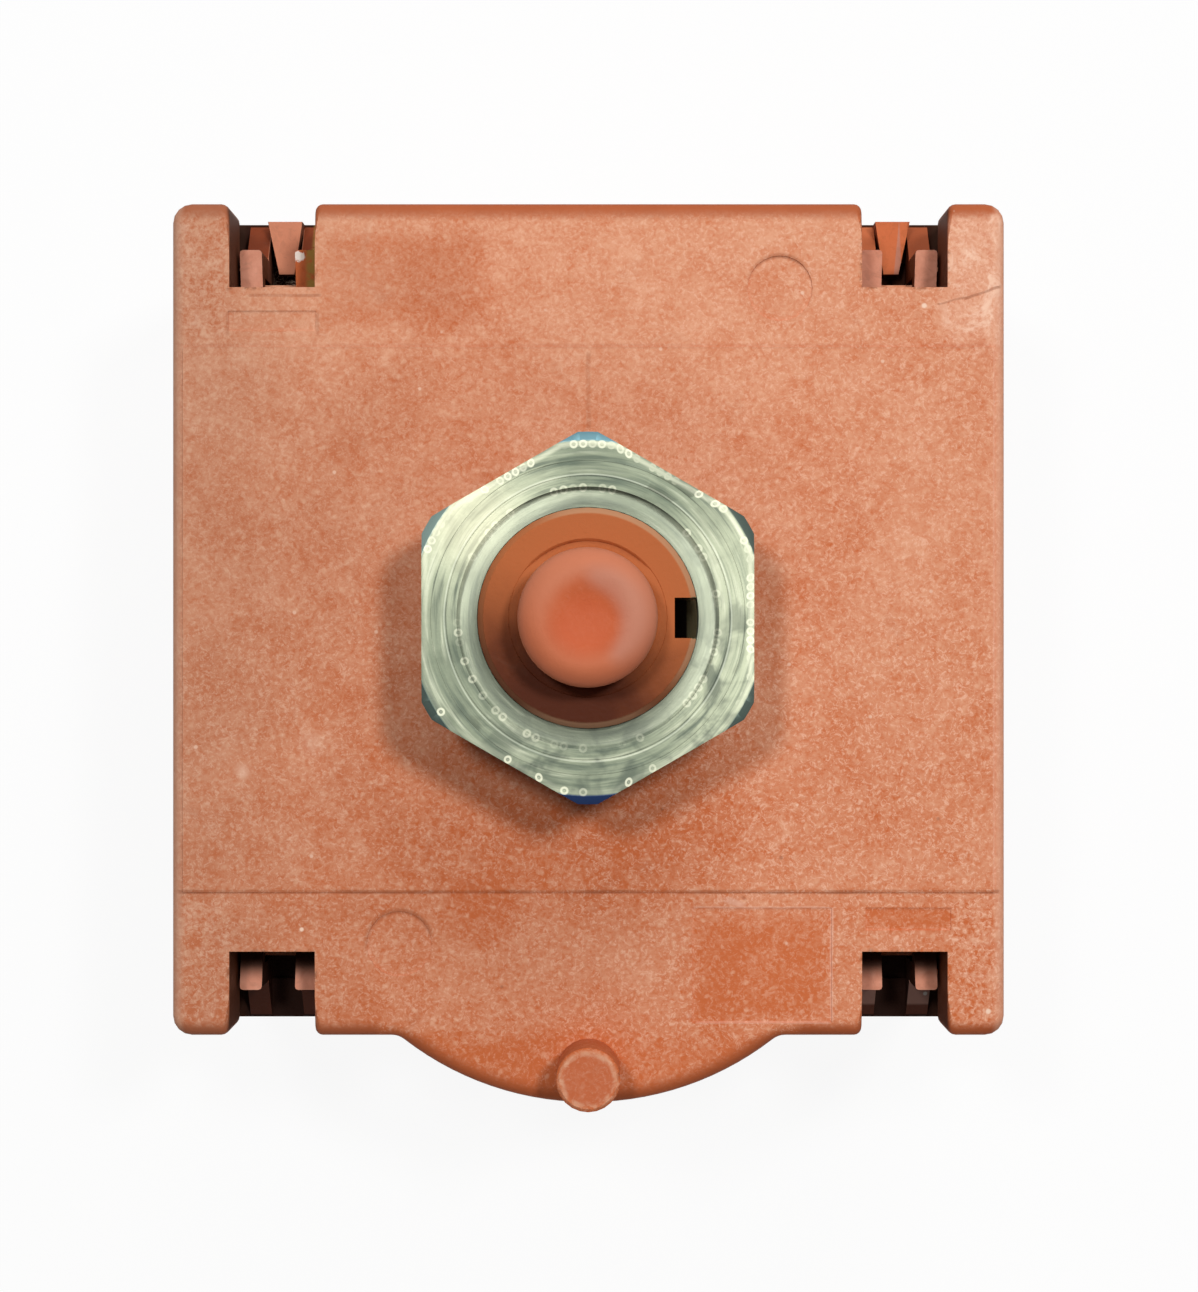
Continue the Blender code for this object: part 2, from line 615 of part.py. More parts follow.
def make_rear_base(material):
    base = prism("rear_base", rounded_square(HALF, BODY_CORNER), 0.0, BASE_HEIGHT)
    bevel_loop(base, 0.0, REAR_EDGE_RADIUS, 2)
    chamber = prism(
        "chamber", rounded_square(INNER_HALF, BODY_CORNER), FLOOR, BASE_HEIGHT + CUT_PAST
    )
    block_half = NOTCH_WIDTH / 2 + CHANNEL_WALL
    blocks = boxes("blocks", [
        placed_box(
            sx, sy, NOTCH_CENTRE_X - block_half, HALF, NOTCH_FLOOR_Y - CHANNEL_WALL, HALF,
            0.0, BASE_HEIGHT - HOOK_GAP,
        )
        for sx, sy in notch_frames()
    ])
    combine(chamber, blocks, "DIFFERENCE")
    combine(base, chamber, "DIFFERENCE")
    for sx, sy in notch_frames():
        add_hook(base, sx, sy)

    # Bearing for the spindle's pivot, closed at the rear
    pivot_bore = PIVOT_DIAMETER / 2 + PIVOT_CLEARANCE
    bearing = turned("bearing", [
        (pivot_bore, BEARING_FLOOR), (pivot_bore + BEARING_WALL, BEARING_FLOOR),
        (pivot_bore + BEARING_WALL, BEARING_TOP), (pivot_bore, BEARING_TOP),
    ], PIVOT_SEGMENTS)
    combine(base, bearing, "UNION")
    well = turned("well", [
        (0.0, BEARING_FLOOR), (pivot_bore, BEARING_FLOOR), (pivot_bore, BEARING_TOP + CUT_PAST),
        (0.0, BEARING_TOP + CUT_PAST),
    ], PIVOT_SEGMENTS)
    combine(base, well, "DIFFERENCE")

    for pole in range(POLES):
        turn = about_spindle(pole * 2 * pi / POLES)
        guides = boxes("guides", [
            (GUIDE_START, GUIDE_START + GUIDE_LENGTH,
             *sorted((side * GUIDE_INNER_Y, side * (GUIDE_INNER_Y + GUIDE_THICKNESS))),
             FLOOR / 2, GUIDE_TOP)
            for side in (-1.0, 1.0)
        ])
        combine(base, moved(guides, turn), "UNION")
        spigot = spring_spigot(INNER_HALF + WALL / 2, INNER_HALF - SPIGOT_LENGTH)
        combine(base, moved(spigot, turn), "UNION")

    for sx, sy in notch_frames():
        centre = (sx * REAR_MARK_PLACE, sy * REAR_MARK_PLACE)
        combine(base, ejector_mark(centre, -CUT_PAST, MARK_DEPTH), "DIFFERENCE")

    # Ledges that carry the partition plate
    shelf_top = PARTITION_BOTTOM - LEDGE_SEAT
    shelves = boxes("shelves", [
        (*sorted((side * (INNER_HALF - LEDGE_DEPTH), side * (INNER_HALF + WALL / 2))),
         y - WALL, y + WALL, FLOOR / 2, shelf_top)
        for side in (-1.0, 1.0)
        for y in (-RIB_PLACE, RIB_PLACE)
    ])
    combine(base, shelves, "UNION")

    # Slots in the floor that the terminals' tabs drop through
    slot_top = STRIP_BOTTOM + STRIP_THICKNESS + TAB_SLOT_GAP
    for pole in range(POLES):
        slots = boxes("slots", [
            (TAB_INNER - TAB_SLOT_GAP, TAB_OUTER + TAB_SLOT_GAP,
             side * CONTACT_SPREAD - TAB_WIDTH / 2 - TAB_SLOT_GAP,
             side * CONTACT_SPREAD + TAB_WIDTH / 2 + TAB_SLOT_GAP, -CUT_PAST, slot_top)
            for side in (-1.0, 1.0)
        ])
        combine(base, moved(slots, about_spindle(pole * 2 * pi / POLES)), "DIFFERENCE")
    finish(base, material)
    return base


def add_hook(base, sx, sy):
    """Two prongs with barbs that grip the cover's ledge, each with a buttress behind it."""
    root = BASE_HEIGHT - HOOK_ROOT
    radius = PRONG_WIDTH / 2
    corner = Matrix.Diagonal((sx, sy, 1.0, 1.0))
    for side in (-1.0, 1.0):
        x = NOTCH_CENTRE_X + side * PRONG_SPREAD / 2
        outline = [(x - radius, BARB_INNER), (x + radius, BARB_INNER)]
        corner_y = PRONG_OUTER - PRONG_CORNER
        for hand, start in ((1.0, 0.0), (-1.0, pi / 2)):
            corner_x = x + hand * (radius - PRONG_CORNER)
            outline += arc_points(
                (corner_x, corner_y), PRONG_CORNER, start, start + pi / 2, PRONG_STEPS
            )
        prong = prism("prong", outline, root, PRONG_TOP)
        throat = boxes("throat", [(
            x - PRONG_WIDTH, x + PRONG_WIDTH, BARB_INNER - CUT_PAST, PRONG_LEG_INNER,
            root - CUT_PAST, BARB_BOTTOM,
        )])
        combine(prong, throat, "DIFFERENCE")
        slope = boxes("slope", [(
            x - PRONG_WIDTH, x + PRONG_WIDTH, -2 * PRONG_DEPTH, 2 * PRONG_DEPTH, 0.0, PRONG_DEPTH,
        )])
        tilt = Matrix.Rotation(BARB_SLOPE, 4, "X")
        moved(slope, Matrix.Translation((0.0, PRONG_OUTER, PRONG_TOP)) @ tilt)
        combine(prong, slope, "DIFFERENCE")
        buttress_outline = [
            (PRONG_OUTER - PRONG_DEPTH / 2, root), (HALF - HOOK_SETBACK, root),
            (HALF - HOOK_SETBACK, BASE_HEIGHT), (PRONG_OUTER, BASE_HEIGHT + BUTTRESS_HEIGHT),
            (PRONG_OUTER - PRONG_DEPTH / 2, BASE_HEIGHT + BUTTRESS_HEIGHT),
        ]
        buttress = prism("buttress", buttress_outline, x - radius, x + radius)
        combine(prong, moved(buttress, extruded_along_x()), "UNION")
        combine(base, moved(prong, corner), "UNION")
    if sy > 0.0:
        add_tongue(base, corner, root)


def add_tongue(base, corner, root):
    """Tapered tongue between the prongs, falling from the outer wall to a blunt tip inside."""
    half = TONGUE_WIDTH / 2
    tip_half = TONGUE_TIP_WIDTH / 2
    outer = HALF - HOOK_SETBACK
    tip = outer - TONGUE_REACH
    outline = [
        (NOTCH_CENTRE_X - half, outer), (NOTCH_CENTRE_X - tip_half, tip),
        (NOTCH_CENTRE_X + tip_half, tip), (NOTCH_CENTRE_X + half, outer),
    ]
    tongue = prism("tongue", outline, root, BASE_HEIGHT + TONGUE_HEIGHT)
    work = bmesh.new()
    work.from_mesh(tongue.data)
    for vert in work.verts:
        if vert.co.z > BASE_HEIGHT and vert.co.y < outer - half:
            vert.co.z = BASE_HEIGHT + TONGUE_HEIGHT / 2
    work.to_mesh(tongue.data)
    work.free()
    combine(base, moved(tongue, corner), "UNION")


def spring_spigot(outer, inner):
    """Round spigot along X that centres a plunger's spring."""
    spigot = turned("spigot", [
        (0.0, inner), (SPIGOT_DIAMETER / 2, inner), (SPIGOT_DIAMETER / 2, outer), (0.0, outer),
    ], SMALL_SEGMENTS)
    lie_along_x = Matrix.Rotation(pi / 2, 4, "Y")
    lift = Matrix.Translation((0.0, 0.0, CONTACT_LEVEL))
    return moved(spigot, lift @ lie_along_x)


def make_partition_plate(material):
    half = INNER_HALF - PARTITION_FIT
    plate = boxes("partition_plate", [(-half, half, -half, half, PARTITION_BOTTOM, PARTITION_TOP)])
    corner_x = NOTCH_CENTRE_X - NOTCH_WIDTH / 2 - CHANNEL_WALL - HOOK_GAP
    corner_y = NOTCH_FLOOR_Y - CHANNEL_WALL - HOOK_GAP
    corners = boxes("corners", [
        placed_box(
            sx, sy, corner_x, HALF, corner_y, HALF,
            PARTITION_BOTTOM - CUT_PAST, PARTITION_TOP + CUT_PAST,
        )
        for sx, sy in notch_frames()
    ])
    combine(plate, corners, "DIFFERENCE")

    # Tongues that line the cover up with the base
    tongues = boxes("tongues", [
        (*sorted((side * (half - TONGUE_THICKNESS), side * half)),
         -LEDGE_LENGTH / 2, LEDGE_LENGTH / 2, PARTITION_MIDDLE, PARTITION_TOP + TONGUE_RISE)
        for side in (-1.0, 1.0)
    ] + [
        (-TONGUE_LENGTH / 2, TONGUE_LENGTH / 2,
         *sorted((side * (half - TONGUE_THICKNESS), side * half)),
         PARTITION_MIDDLE, PARTITION_TOP + TONGUE_RISE)
        for side in (-1.0, 1.0)
    ])
    combine(plate, tongues, "UNION")

    below = PARTITION_BOTTOM - CUT_PAST
    above = PARTITION_TOP + CUT_PAST
    opening = turned("opening", [
        (0.0, below), (PARTITION_HOLE_DIAMETER / 2, below), (PARTITION_HOLE_DIAMETER / 2, above),
        (0.0, above),
    ])
    combine(plate, opening, "DIFFERENCE")

    # End stops for the wheel's lug, one beyond each end of the throw
    reach = LUG_HALF_ANGLE + STOP_GAP_ANGLE + STOP_HALF_ANGLE
    for centre in (LUG_REST_ANGLE + reach, LUG_REST_ANGLE - THROW - reach):
        outline = sector(STOP_INNER, STOP_OUTER, centre, STOP_HALF_ANGLE)
        stop = prism("stop", outline, PARTITION_MIDDLE, WHEEL_BOTTOM + LUG_HEIGHT)
        combine(plate, stop, "UNION")

    # Slotted posts for the ends of the detent springs
    post_top = DETENT_BOTTOM + DETENT_HEIGHT
    slot_half = DETENT_STRIP / 2 + POST_SLOT_GAP
    for sx, sy in notch_frames():
        x = sx * (DETENT_HALF_SPAN - POST_WIDTH / 2)
        y = sy * DETENT_LINE
        post = boxes("post", [(
            x - POST_WIDTH / 2, x + POST_WIDTH / 2, y - POST_DEPTH / 2, y + POST_DEPTH / 2,
            PARTITION_MIDDLE, post_top,
        )])
        slot = boxes("slot", [(
            x - POST_WIDTH, x + POST_WIDTH, y - slot_half, y + slot_half,
            DETENT_BOTTOM - POST_SLOT_GAP, post_top + CUT_PAST,
        )])
        combine(post, slot, "DIFFERENCE")
        combine(plate, post, "UNION")
    finish(plate, material)
    return plate


def sector(inner, outer, centre, half_angle):
    """Outline of a short ring sector about the spindle."""
    start = centre - half_angle
    end = centre + half_angle
    far = arc_points((0.0, 0.0), outer, start, end, 2)
    near = arc_points((0.0, 0.0), inner, end, start, 2)
    return far + near


def make_spindle(material):
    radius = SPINDLE_DIAMETER / 2
    tip = FACE_Z + SPINDLE_REACH
    collar = COLLAR_DIAMETER / 2
    dimple = DIMPLE_DIAMETER / 2
    dish = (dimple ** 2 + DIMPLE_DEPTH ** 2) / (2 * DIMPLE_DEPTH)
    spread = atan2(dimple, dish - DIMPLE_DEPTH)
    rim = arc_points(
        (radius - SPINDLE_TIP_RADIUS, tip - SPINDLE_TIP_RADIUS), SPINDLE_TIP_RADIUS,
        0.0, pi / 2, 4,
    )
    bowl = [
        (dish * sin(a), tip + dish - DIMPLE_DEPTH - dish * cos(a))
        for a in (spread, spread * 2 / 3, spread / 3)
    ]
    shaft = turned("spindle", [
        (0.0, COLLAR_BOTTOM), (collar, COLLAR_BOTTOM), (collar, COLLAR_TOP), (radius, COLLAR_TOP),
        *rim, *bowl, (0.0, tip - DIMPLE_DEPTH),
    ])
    half = SQUARE_SIDE / 2
    square_bottom = BEARING_TOP + PIVOT_CLEARANCE
    square = boxes("square", [
        (-half, half, -half, half, square_bottom, COLLAR_MIDDLE)
    ])
    combine(shaft, square, "UNION")
    pivot = PIVOT_DIAMETER / 2
    pin = turned("pivot", [
        (0.0, BEARING_FLOOR + PIVOT_CLEARANCE), (pivot, BEARING_FLOOR + PIVOT_CLEARANCE),
        (pivot, square_bottom + PIVOT_CLEARANCE), (0.0, square_bottom + PIVOT_CLEARANCE),
    ], PIVOT_SEGMENTS)
    combine(shaft, pin, "UNION")
    finish(shaft, material)
    return shaft


def square_hole(bottom, top):
    half = SQUARE_SIDE / 2 + DRIVE_GAP
    return boxes("square_hole", [(-half, half, -half, half, bottom, top)])


def cam_radius_at(angle):
    """Radius of the cam: falls by the stroke over the throw, dwells, then climbs back."""
    pitch = 2 * pi / POLES
    place = angle % pitch
    low_end = THROW + CAM_REST_MARGIN
    high_start = pitch - CAM_REST_MARGIN
    if place <= THROW:
        return CAM_RADIUS - STROKE * place / THROW
    if place <= low_end:
        return CAM_LOW_RADIUS
    if place < high_start:
        return CAM_LOW_RADIUS + STROKE * (place - low_end) / (high_start - low_end)
    return CAM_RADIUS


def make_cam_disc(material):
    count = round(2 * pi / CAM_STEP)
    angles = [2 * pi * step / count for step in range(count)]
    outline = [(cam_radius_at(a) * cos(a), cam_radius_at(a) * sin(a)) for a in angles]
    cam = prism("cam_disc", outline, CAM_BOTTOM, CAM_TOP)
    combine(cam, square_hole(CAM_BOTTOM - CUT_PAST, CAM_TOP + CUT_PAST), "DIFFERENCE")
    finish(cam, material, radians(25.0))
    return cam


def wheel_radius_at(angle):
    """Radius of the index wheel, with a rounded notch on the Y axis and at each pitch from it."""
    pitch = 2 * pi / WHEEL_NOTCHES
    offset = (angle - pi / 2 + pitch / 2) % pitch - pitch / 2
    if abs(offset) >= NOTCH_HALF_ANGLE:
        return WHEEL_RADIUS
    return WHEEL_RADIUS - NOTCH_DEPTH * (0.5 + 0.5 * cos(pi * offset / NOTCH_HALF_ANGLE))


def make_index_wheel(material):
    count = WHEEL_NOTCHES * NOTCH_SEGMENTS
    angles = [2 * pi * step / count + pi / 2 for step in range(count)]
    outline = [(wheel_radius_at(a) * cos(a), wheel_radius_at(a) * sin(a)) for a in angles]
    wheel = prism("index_wheel", outline, WHEEL_BOTTOM, WHEEL_TOP)
    lug_outline = sector(WHEEL_RADIUS / 2, LUG_REACH, LUG_REST_ANGLE, LUG_HALF_ANGLE)
    lug = prism("lug", lug_outline, WHEEL_BOTTOM, WHEEL_BOTTOM + LUG_HEIGHT)
    combine(wheel, lug, "UNION")
    combine(wheel, square_hole(WHEEL_BOTTOM - CUT_PAST, WHEEL_TOP + CUT_PAST), "DIFFERENCE")
    finish(wheel, material, radians(25.0))
    return wheel


def make_detent_springs(material):
    """Two leaf springs, each a bent strip on edge whose nose sits in a notch of the wheel."""
    nose_line = WHEEL_RADIUS - NOTCH_DEPTH + FOLLOWER_GAP + DETENT_STRIP / 2
    tip = DETENT_STRIP / 2
    half_line = [
        (tip, nose_line), (NOSE_HALF_WIDTH, DETENT_LINE), (DETENT_HALF_SPAN, DETENT_LINE)
    ]
    line = [(-x, y) for x, y in reversed(half_line)] + half_line
    outline = strip_outline(line, DETENT_STRIP)
    upper = prism("detent_spring_1", outline, DETENT_BOTTOM, DETENT_BOTTOM + DETENT_HEIGHT)
    lower = copy_of(upper, "detent_spring_2", about_spindle(pi))
    for spring in (upper, lower):
        finish(spring, material)


def make_nut(material):
    """Hexagon with a corner up and down, chamfered round both faces, bored for the thread."""
    corner = NUT_ACROSS_FLATS / 2 / cos(pi / 6)
    corners = [pi / 2 + step * pi / 3 for step in range(6)]
    hexagon = [(corner * cos(a), corner * sin(a)) for a in corners]
    nut = prism("hex_nut", hexagon, NUT_BOTTOM, NUT_TOP)
    face = NUT_FACE_DIAMETER / 2
    reach = NUT_ACROSS_CORNERS / 2
    drop = (reach - face) * tan(NUT_CHAMFER_ANGLE)
    envelope = turned("envelope", [
        (0.0, NUT_BOTTOM), (face, NUT_BOTTOM), (reach, NUT_BOTTOM + drop),
        (reach, NUT_TOP - drop), (face, NUT_TOP), (0.0, NUT_TOP),
    ], NUT_SEGMENTS)
    combine(nut, envelope, "INTERSECT")
    hole_radius = BUSH_CORE_DIAMETER / 2 + THREAD_GAP
    hole = turned("hole", [
        (0.0, NUT_BOTTOM - CUT_PAST), (hole_radius, NUT_BOTTOM - CUT_PAST),
        (hole_radius, NUT_TOP + CUT_PAST), (0.0, NUT_TOP + CUT_PAST),
    ])
    combine(nut, hole, "DIFFERENCE")
    finish(nut, material, radians(20.0))
    return nut


def make_plunger(material):
    """Block with a round nose on the cam, a window for the bridge and a spigot for the spring."""
    half = PLUNGER_WIDTH / 2
    shoulder = NOSE_TIP + NOSE_LENGTH
    nose_radius = NOSE_WIDTH / 2
    nose = arc_points((NOSE_TIP + nose_radius, 0.0), nose_radius, pi / 2, 3 * pi / 2, NOSE_STEPS)
    outline = [(PLUNGER_BACK, half), (shoulder, half), (shoulder, nose_radius), *nose,
               (shoulder, -nose_radius), (shoulder, -half), (PLUNGER_BACK, -half)]
    plunger = prism("plunger_1", outline, PLUNGER_BOTTOM, PLUNGER_TOP)
    undercut = boxes("undercut", [(
        NOSE_TIP - CUT_PAST, shoulder, -half, half, PLUNGER_BOTTOM - CUT_PAST, CAM_BOTTOM
    )])
    combine(plunger, undercut, "DIFFERENCE")
    window = boxes("window", [(
        BRIDGE_INNER - DRIVE_GAP, BRIDGE_OUTER + DRIVE_GAP, -PLUNGER_WIDTH, PLUNGER_WIDTH,
        CONTACT_LEVEL - BRIDGE_HEIGHT / 2 - DRIVE_GAP, CONTACT_LEVEL + BRIDGE_HEIGHT / 2 + DRIVE_GAP,
    )])
    combine(plunger, window, "DIFFERENCE")
    spigot = spring_spigot(PLUNGER_BACK + SPIGOT_LENGTH, PLUNGER_BACK - DRIVE_GAP / 2)
    combine(plunger, spigot, "UNION")
    finish(plunger, material)
    return plunger


def make_bridge(material):
    half = BRIDGE_SPAN / 2
    bridge = boxes("bridge_1", [(
        BRIDGE_INNER, BRIDGE_OUTER, -half, half,
        CONTACT_LEVEL - BRIDGE_HEIGHT / 2, CONTACT_LEVEL + BRIDGE_HEIGHT / 2,
    )])
    for side in (-1.0, 1.0):
        combine(bridge, rivet_hole(BRIDGE_INNER, BRIDGE_OUTER, side), "DIFFERENCE")
    finish(bridge, material)
    return bridge


def along_x(item, side):
    """Lays a piece turned about Z along +X, at one contact's place."""
    place = Matrix.Translation((0.0, side * CONTACT_SPREAD, CONTACT_LEVEL))
    return moved(item, place @ Matrix.Rotation(pi / 2, 4, "Y"))


def rivet_hole(inner, outer, side):
    radius = RIVET_SHANK_DIAMETER / 2 + RIVET_GAP
    start = inner - CUT_PAST
    end = outer + CUT_PAST
    hole = turned(
        "rivet_hole", [(0.0, start), (radius, start), (radius, end), (0.0, end)], SMALL_SEGMENTS
    )
    return along_x(hole, side)


def make_rivet(name, face, strip_far, side, material):
    """Contact rivet along X: its head ends at the face, its shank goes through the strip."""
    outward = 1.0 if strip_far > face else -1.0
    head = RIVET_HEAD_DIAMETER / 2
    shank = RIVET_SHANK_DIAMETER / 2
    bevel = RIVET_HEAD_HEIGHT / 3
    profile = [
        (0.0, face), (head - bevel, face), (head, face + outward * bevel),
        (head, face + outward * RIVET_HEAD_HEIGHT), (shank, face + outward * RIVET_HEAD_HEIGHT),
        (shank, strip_far + outward * RIVET_TAIL), (0.0, strip_far + outward * RIVET_TAIL),
    ]
    rivet = along_x(turned(name, profile, SMALL_SEGMENTS), side)
    finish(rivet, material)
    return rivet


def make_plunger_spring(material):
    """Compression spring between the plunger's back and the housing's wall, along X."""
    start = PLUNGER_BACK + SPRING_WIRE / 2 + SPRING_SEAT
    end = INNER_HALF - SPRING_WIRE / 2 - SPRING_SEAT
    count = round((end - start) / SPRING_PITCH * SPRING_POINTS)
    coil = bpy.data.curves.new("plunger_spring_1", "CURVE")
    coil.dimensions = "3D"
    coil.bevel_depth = SPRING_WIRE / 2
    coil.bevel_resolution = 1
    coil.use_fill_caps = True
    line = coil.splines.new("POLY")
    line.points.add(count)
    for step, point in enumerate(line.points):
        angle = 2 * pi * step / SPRING_POINTS
        x = start + (end - start) * step / count
        y = SPRING_DIAMETER / 2 * cos(angle)
        z = CONTACT_LEVEL + SPRING_DIAMETER / 2 * sin(angle)
        point.co = (x, y, z, 1.0)
    spring = bpy.data.objects.new("coil", coil)
    bpy.context.collection.objects.link(spring)
    bpy.context.view_layer.update()
    graph = bpy.context.evaluated_depsgraph_get()
    mesh = bpy.data.meshes.new_from_object(spring.evaluated_get(graph))
    bpy.data.objects.remove(spring, do_unlink=True)
    solid = bpy.data.objects.new("plunger_spring_1", mesh)
    bpy.context.collection.objects.link(solid)
    finish(solid, material, radians(60.0))
    return solid


def make_terminal(material):
    """Fixed contact strip: up beside the bridge, out along the floor, down to a tab."""
    corner = TAB_INNER + STRIP_THICKNESS / 2
    line = [
        (STRIP_INNER + STRIP_THICKNESS / 2, STRIP_TOP),
        (STRIP_INNER + STRIP_THICKNESS / 2, STRIP_BOTTOM + STRIP_THICKNESS / 2),
        (corner, STRIP_BOTTOM + STRIP_THICKNESS / 2),
        (corner, -TAB_LENGTH / 2),
    ]
    strip = prism("terminal_1", strip_outline(line, STRIP_THICKNESS),
                  -STRIP_WIDTH / 2, STRIP_WIDTH / 2)
    stand_up = Matrix.Rotation(pi / 2, 4, "X")
    shift = Matrix.Translation((0.0, CONTACT_SPREAD, 0.0))
    moved(strip, shift @ stand_up)
    half = TAB_WIDTH / 2
    tip = -TAB_LENGTH
    tab_outline = [
        (half, STRIP_BOTTOM + STRIP_THICKNESS), (-half, STRIP_BOTTOM + STRIP_THICKNESS),
        (-half, tip + TAB_CHAMFER), (-half + TAB_CHAMFER, tip), (half - TAB_CHAMFER, tip),
        (half, tip + TAB_CHAMFER),
    ]
    tab = prism("tab", tab_outline, TAB_INNER, TAB_OUTER)
    combine(strip, moved(tab, shift @ extruded_along_x()), "UNION")
    eye = turned("eye", [
        (0.0, TAB_INNER - CUT_PAST), (TAB_HOLE_DIAMETER / 2, TAB_INNER - CUT_PAST),
        (TAB_HOLE_DIAMETER / 2, TAB_OUTER + CUT_PAST), (0.0, TAB_OUTER + CUT_PAST),
    ], SMALL_SEGMENTS)
    eye_place = Matrix.Translation((0.0, CONTACT_SPREAD, TAB_HOLE_FROM_TIP - TAB_LENGTH))
    combine(strip, moved(eye, eye_place @ Matrix.Rotation(pi / 2, 4, "Y")), "DIFFERENCE")
    combine(strip, rivet_hole(STRIP_INNER, STRIP_OUTER, 1.0), "DIFFERENCE")
    finish(strip, material)
    return strip


def make_poles(plastic, silver, copper, plated, steel):
    """The four contact sets, drawn on the +X side and turned about the spindle."""
    plunger = make_plunger(plastic)
    bridge = make_bridge(copper)
    spring = make_plunger_spring(steel)
    terminal = make_terminal(plated)
    mirror = Matrix.Diagonal((1.0, -1.0, 1.0, 1.0))
    moving = make_rivet("moving_rivet_1", MOVING_FACE, BRIDGE_OUTER, 1.0, silver)
    fixed = make_rivet("fixed_rivet_1", FIXED_FACE, STRIP_INNER, 1.0, silver)
    pairs = (("terminal", terminal), ("moving_rivet", moving), ("fixed_rivet", fixed))
    for pole in range(POLES):
        turn = about_spindle(pole * 2 * pi / POLES)
        if pole > 0:
            for name, first in (("plunger", plunger), ("bridge", bridge), ("plunger_spring", spring)):
                copy_of(first, f"{name}_{pole + 1}", turn)
            for name, first in pairs:
                copy_of(first, f"{name}_{2 * pole + 1}", turn)
        for name, first in pairs:
            copy_of(first, f"{name}_{2 * pole + 2}", turn @ mirror)


def main():
    clear_scene()
    housing_red = finish_of("housing red-brown", (0.56, 0.20, 0.11), 0.5)
    spindle_red = finish_of("spindle red-brown", (0.55, 0.17, 0.09), 0.45)
    inner_white = finish_of("natural nylon", (0.78, 0.75, 0.68), 0.45)
    zinc = finish_of("zinc-plated steel", (0.55, 0.58, 0.50), 0.35, 1.0)
    silver = finish_of("contact silver", (0.86, 0.85, 0.82), 0.3, 1.0)
    copper = finish_of("contact copper", (0.80, 0.45, 0.30), 0.35, 1.0)
    plated = finish_of("tinned brass", (0.72, 0.68, 0.55), 0.35, 1.0)
    steel = finish_of("spring steel", (0.55, 0.55, 0.55), 0.3, 1.0)

    make_front_cover(housing_red)
    make_rear_base(housing_red)
    make_partition_plate(inner_white)
    make_spindle(spindle_red)
    make_cam_disc(inner_white)
    make_index_wheel(inner_white)
    make_detent_springs(steel)
    make_nut(zinc)
    make_poles(inner_white, silver, copper, plated, steel)


main()
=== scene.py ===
"""Looks of a four-pole rotary cam switch, seen square on from the front of its housing.

Everything is in metres in the part's own frame: +Z to the front, +Y away from the locating peg.
"""

from math import cos, pi, radians

import bmesh
import bpy
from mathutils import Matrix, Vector


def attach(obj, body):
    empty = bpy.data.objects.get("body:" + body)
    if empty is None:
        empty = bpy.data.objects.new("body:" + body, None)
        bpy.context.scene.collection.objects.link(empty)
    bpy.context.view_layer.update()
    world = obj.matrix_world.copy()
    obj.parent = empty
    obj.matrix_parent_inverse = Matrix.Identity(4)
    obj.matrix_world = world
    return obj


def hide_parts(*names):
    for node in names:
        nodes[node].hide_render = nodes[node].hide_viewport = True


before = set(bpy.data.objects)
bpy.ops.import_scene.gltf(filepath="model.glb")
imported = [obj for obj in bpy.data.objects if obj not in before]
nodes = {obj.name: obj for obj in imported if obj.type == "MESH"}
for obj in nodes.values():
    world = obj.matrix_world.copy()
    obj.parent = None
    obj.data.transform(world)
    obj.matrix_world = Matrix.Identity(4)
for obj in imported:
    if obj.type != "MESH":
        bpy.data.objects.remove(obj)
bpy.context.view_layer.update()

MM = 0.001

# Sizes of the solids that the pieces and finishes below are fitted to, in millimetres
FACE_Z = 21.0
HALF_SIDE = 18.5
NUT_LOW_Z = 27.0
NUT_HIGH_Z = 29.8
NUT_ACROSS_FLATS = 14.0
NUT_FACE_RADIUS = 7.50
NUT_BORE_RADIUS = 4.67
NUT_SEAT_RADIUS = 5.46
BUSH_ROOT_RADIUS = 4.72
KEY_SLOT_WIDTH = 1.7
TAB_END_Z = -8.0
NOTCH_X = 14.05
NOTCH_WIDTH = 3.8
NOTCH_FLOOR_Y = 14.75
PIN_PRINTS = ((8.5, 14.7), (-8.4, -14.4))
PIN_PRINT_RADIUS = 1.45
FIELD_LINE_Y = 12.10
PEG = (0.0, -20.0)
CAMERA_DISTANCE = 168.0
CAMERA_OFF_AXIS = (0.47, -1.18)
FACE_WIDTH_IN_VIEW = 53.16
SENSOR_WIDTH = 36.0


# Modelling by hand: primitives, edit mode and applied modifiers

def deselect_all():
    if bpy.context.object and bpy.context.object.mode != "OBJECT":
        bpy.ops.object.mode_set(mode="OBJECT")
    bpy.ops.object.select_all(action="DESELECT")


def pick(piece):
    deselect_all()
    piece.select_set(True)
    bpy.context.view_layer.objects.active = piece


def named(name):
    piece = bpy.context.object
    piece.name = name
    piece.data.name = name
    return piece


def settle(piece):
    """Puts the place of a piece into its mesh."""
    pick(piece)
    bpy.ops.object.transform_apply(location=True, rotation=True, scale=True)
    return piece


def choose(piece, kind, test):
    """In edit mode, selects only the faces, edges or verts that pass the test."""
    bpy.ops.mesh.select_mode(type=kind)
    bpy.ops.mesh.select_all(action="DESELECT")
    mesh = bmesh.from_edit_mesh(piece.data)
    parts = {"FACE": mesh.faces, "EDGE": mesh.edges, "VERT": mesh.verts}[kind]
    for part in parts:
        if test(part):
            part.select_set(True)
    mesh.select_flush_mode()
    bmesh.update_edit_mesh(piece.data)


def apply(piece, kind, **settings):
    """Adds one modifier, sets it and applies it."""
    pick(piece)
    step = piece.modifiers.new(kind.title(), kind)
    for key, value in settings.items():
        setattr(step, key, value)
    bpy.ops.object.modifier_apply(modifier=step.name)
    return piece


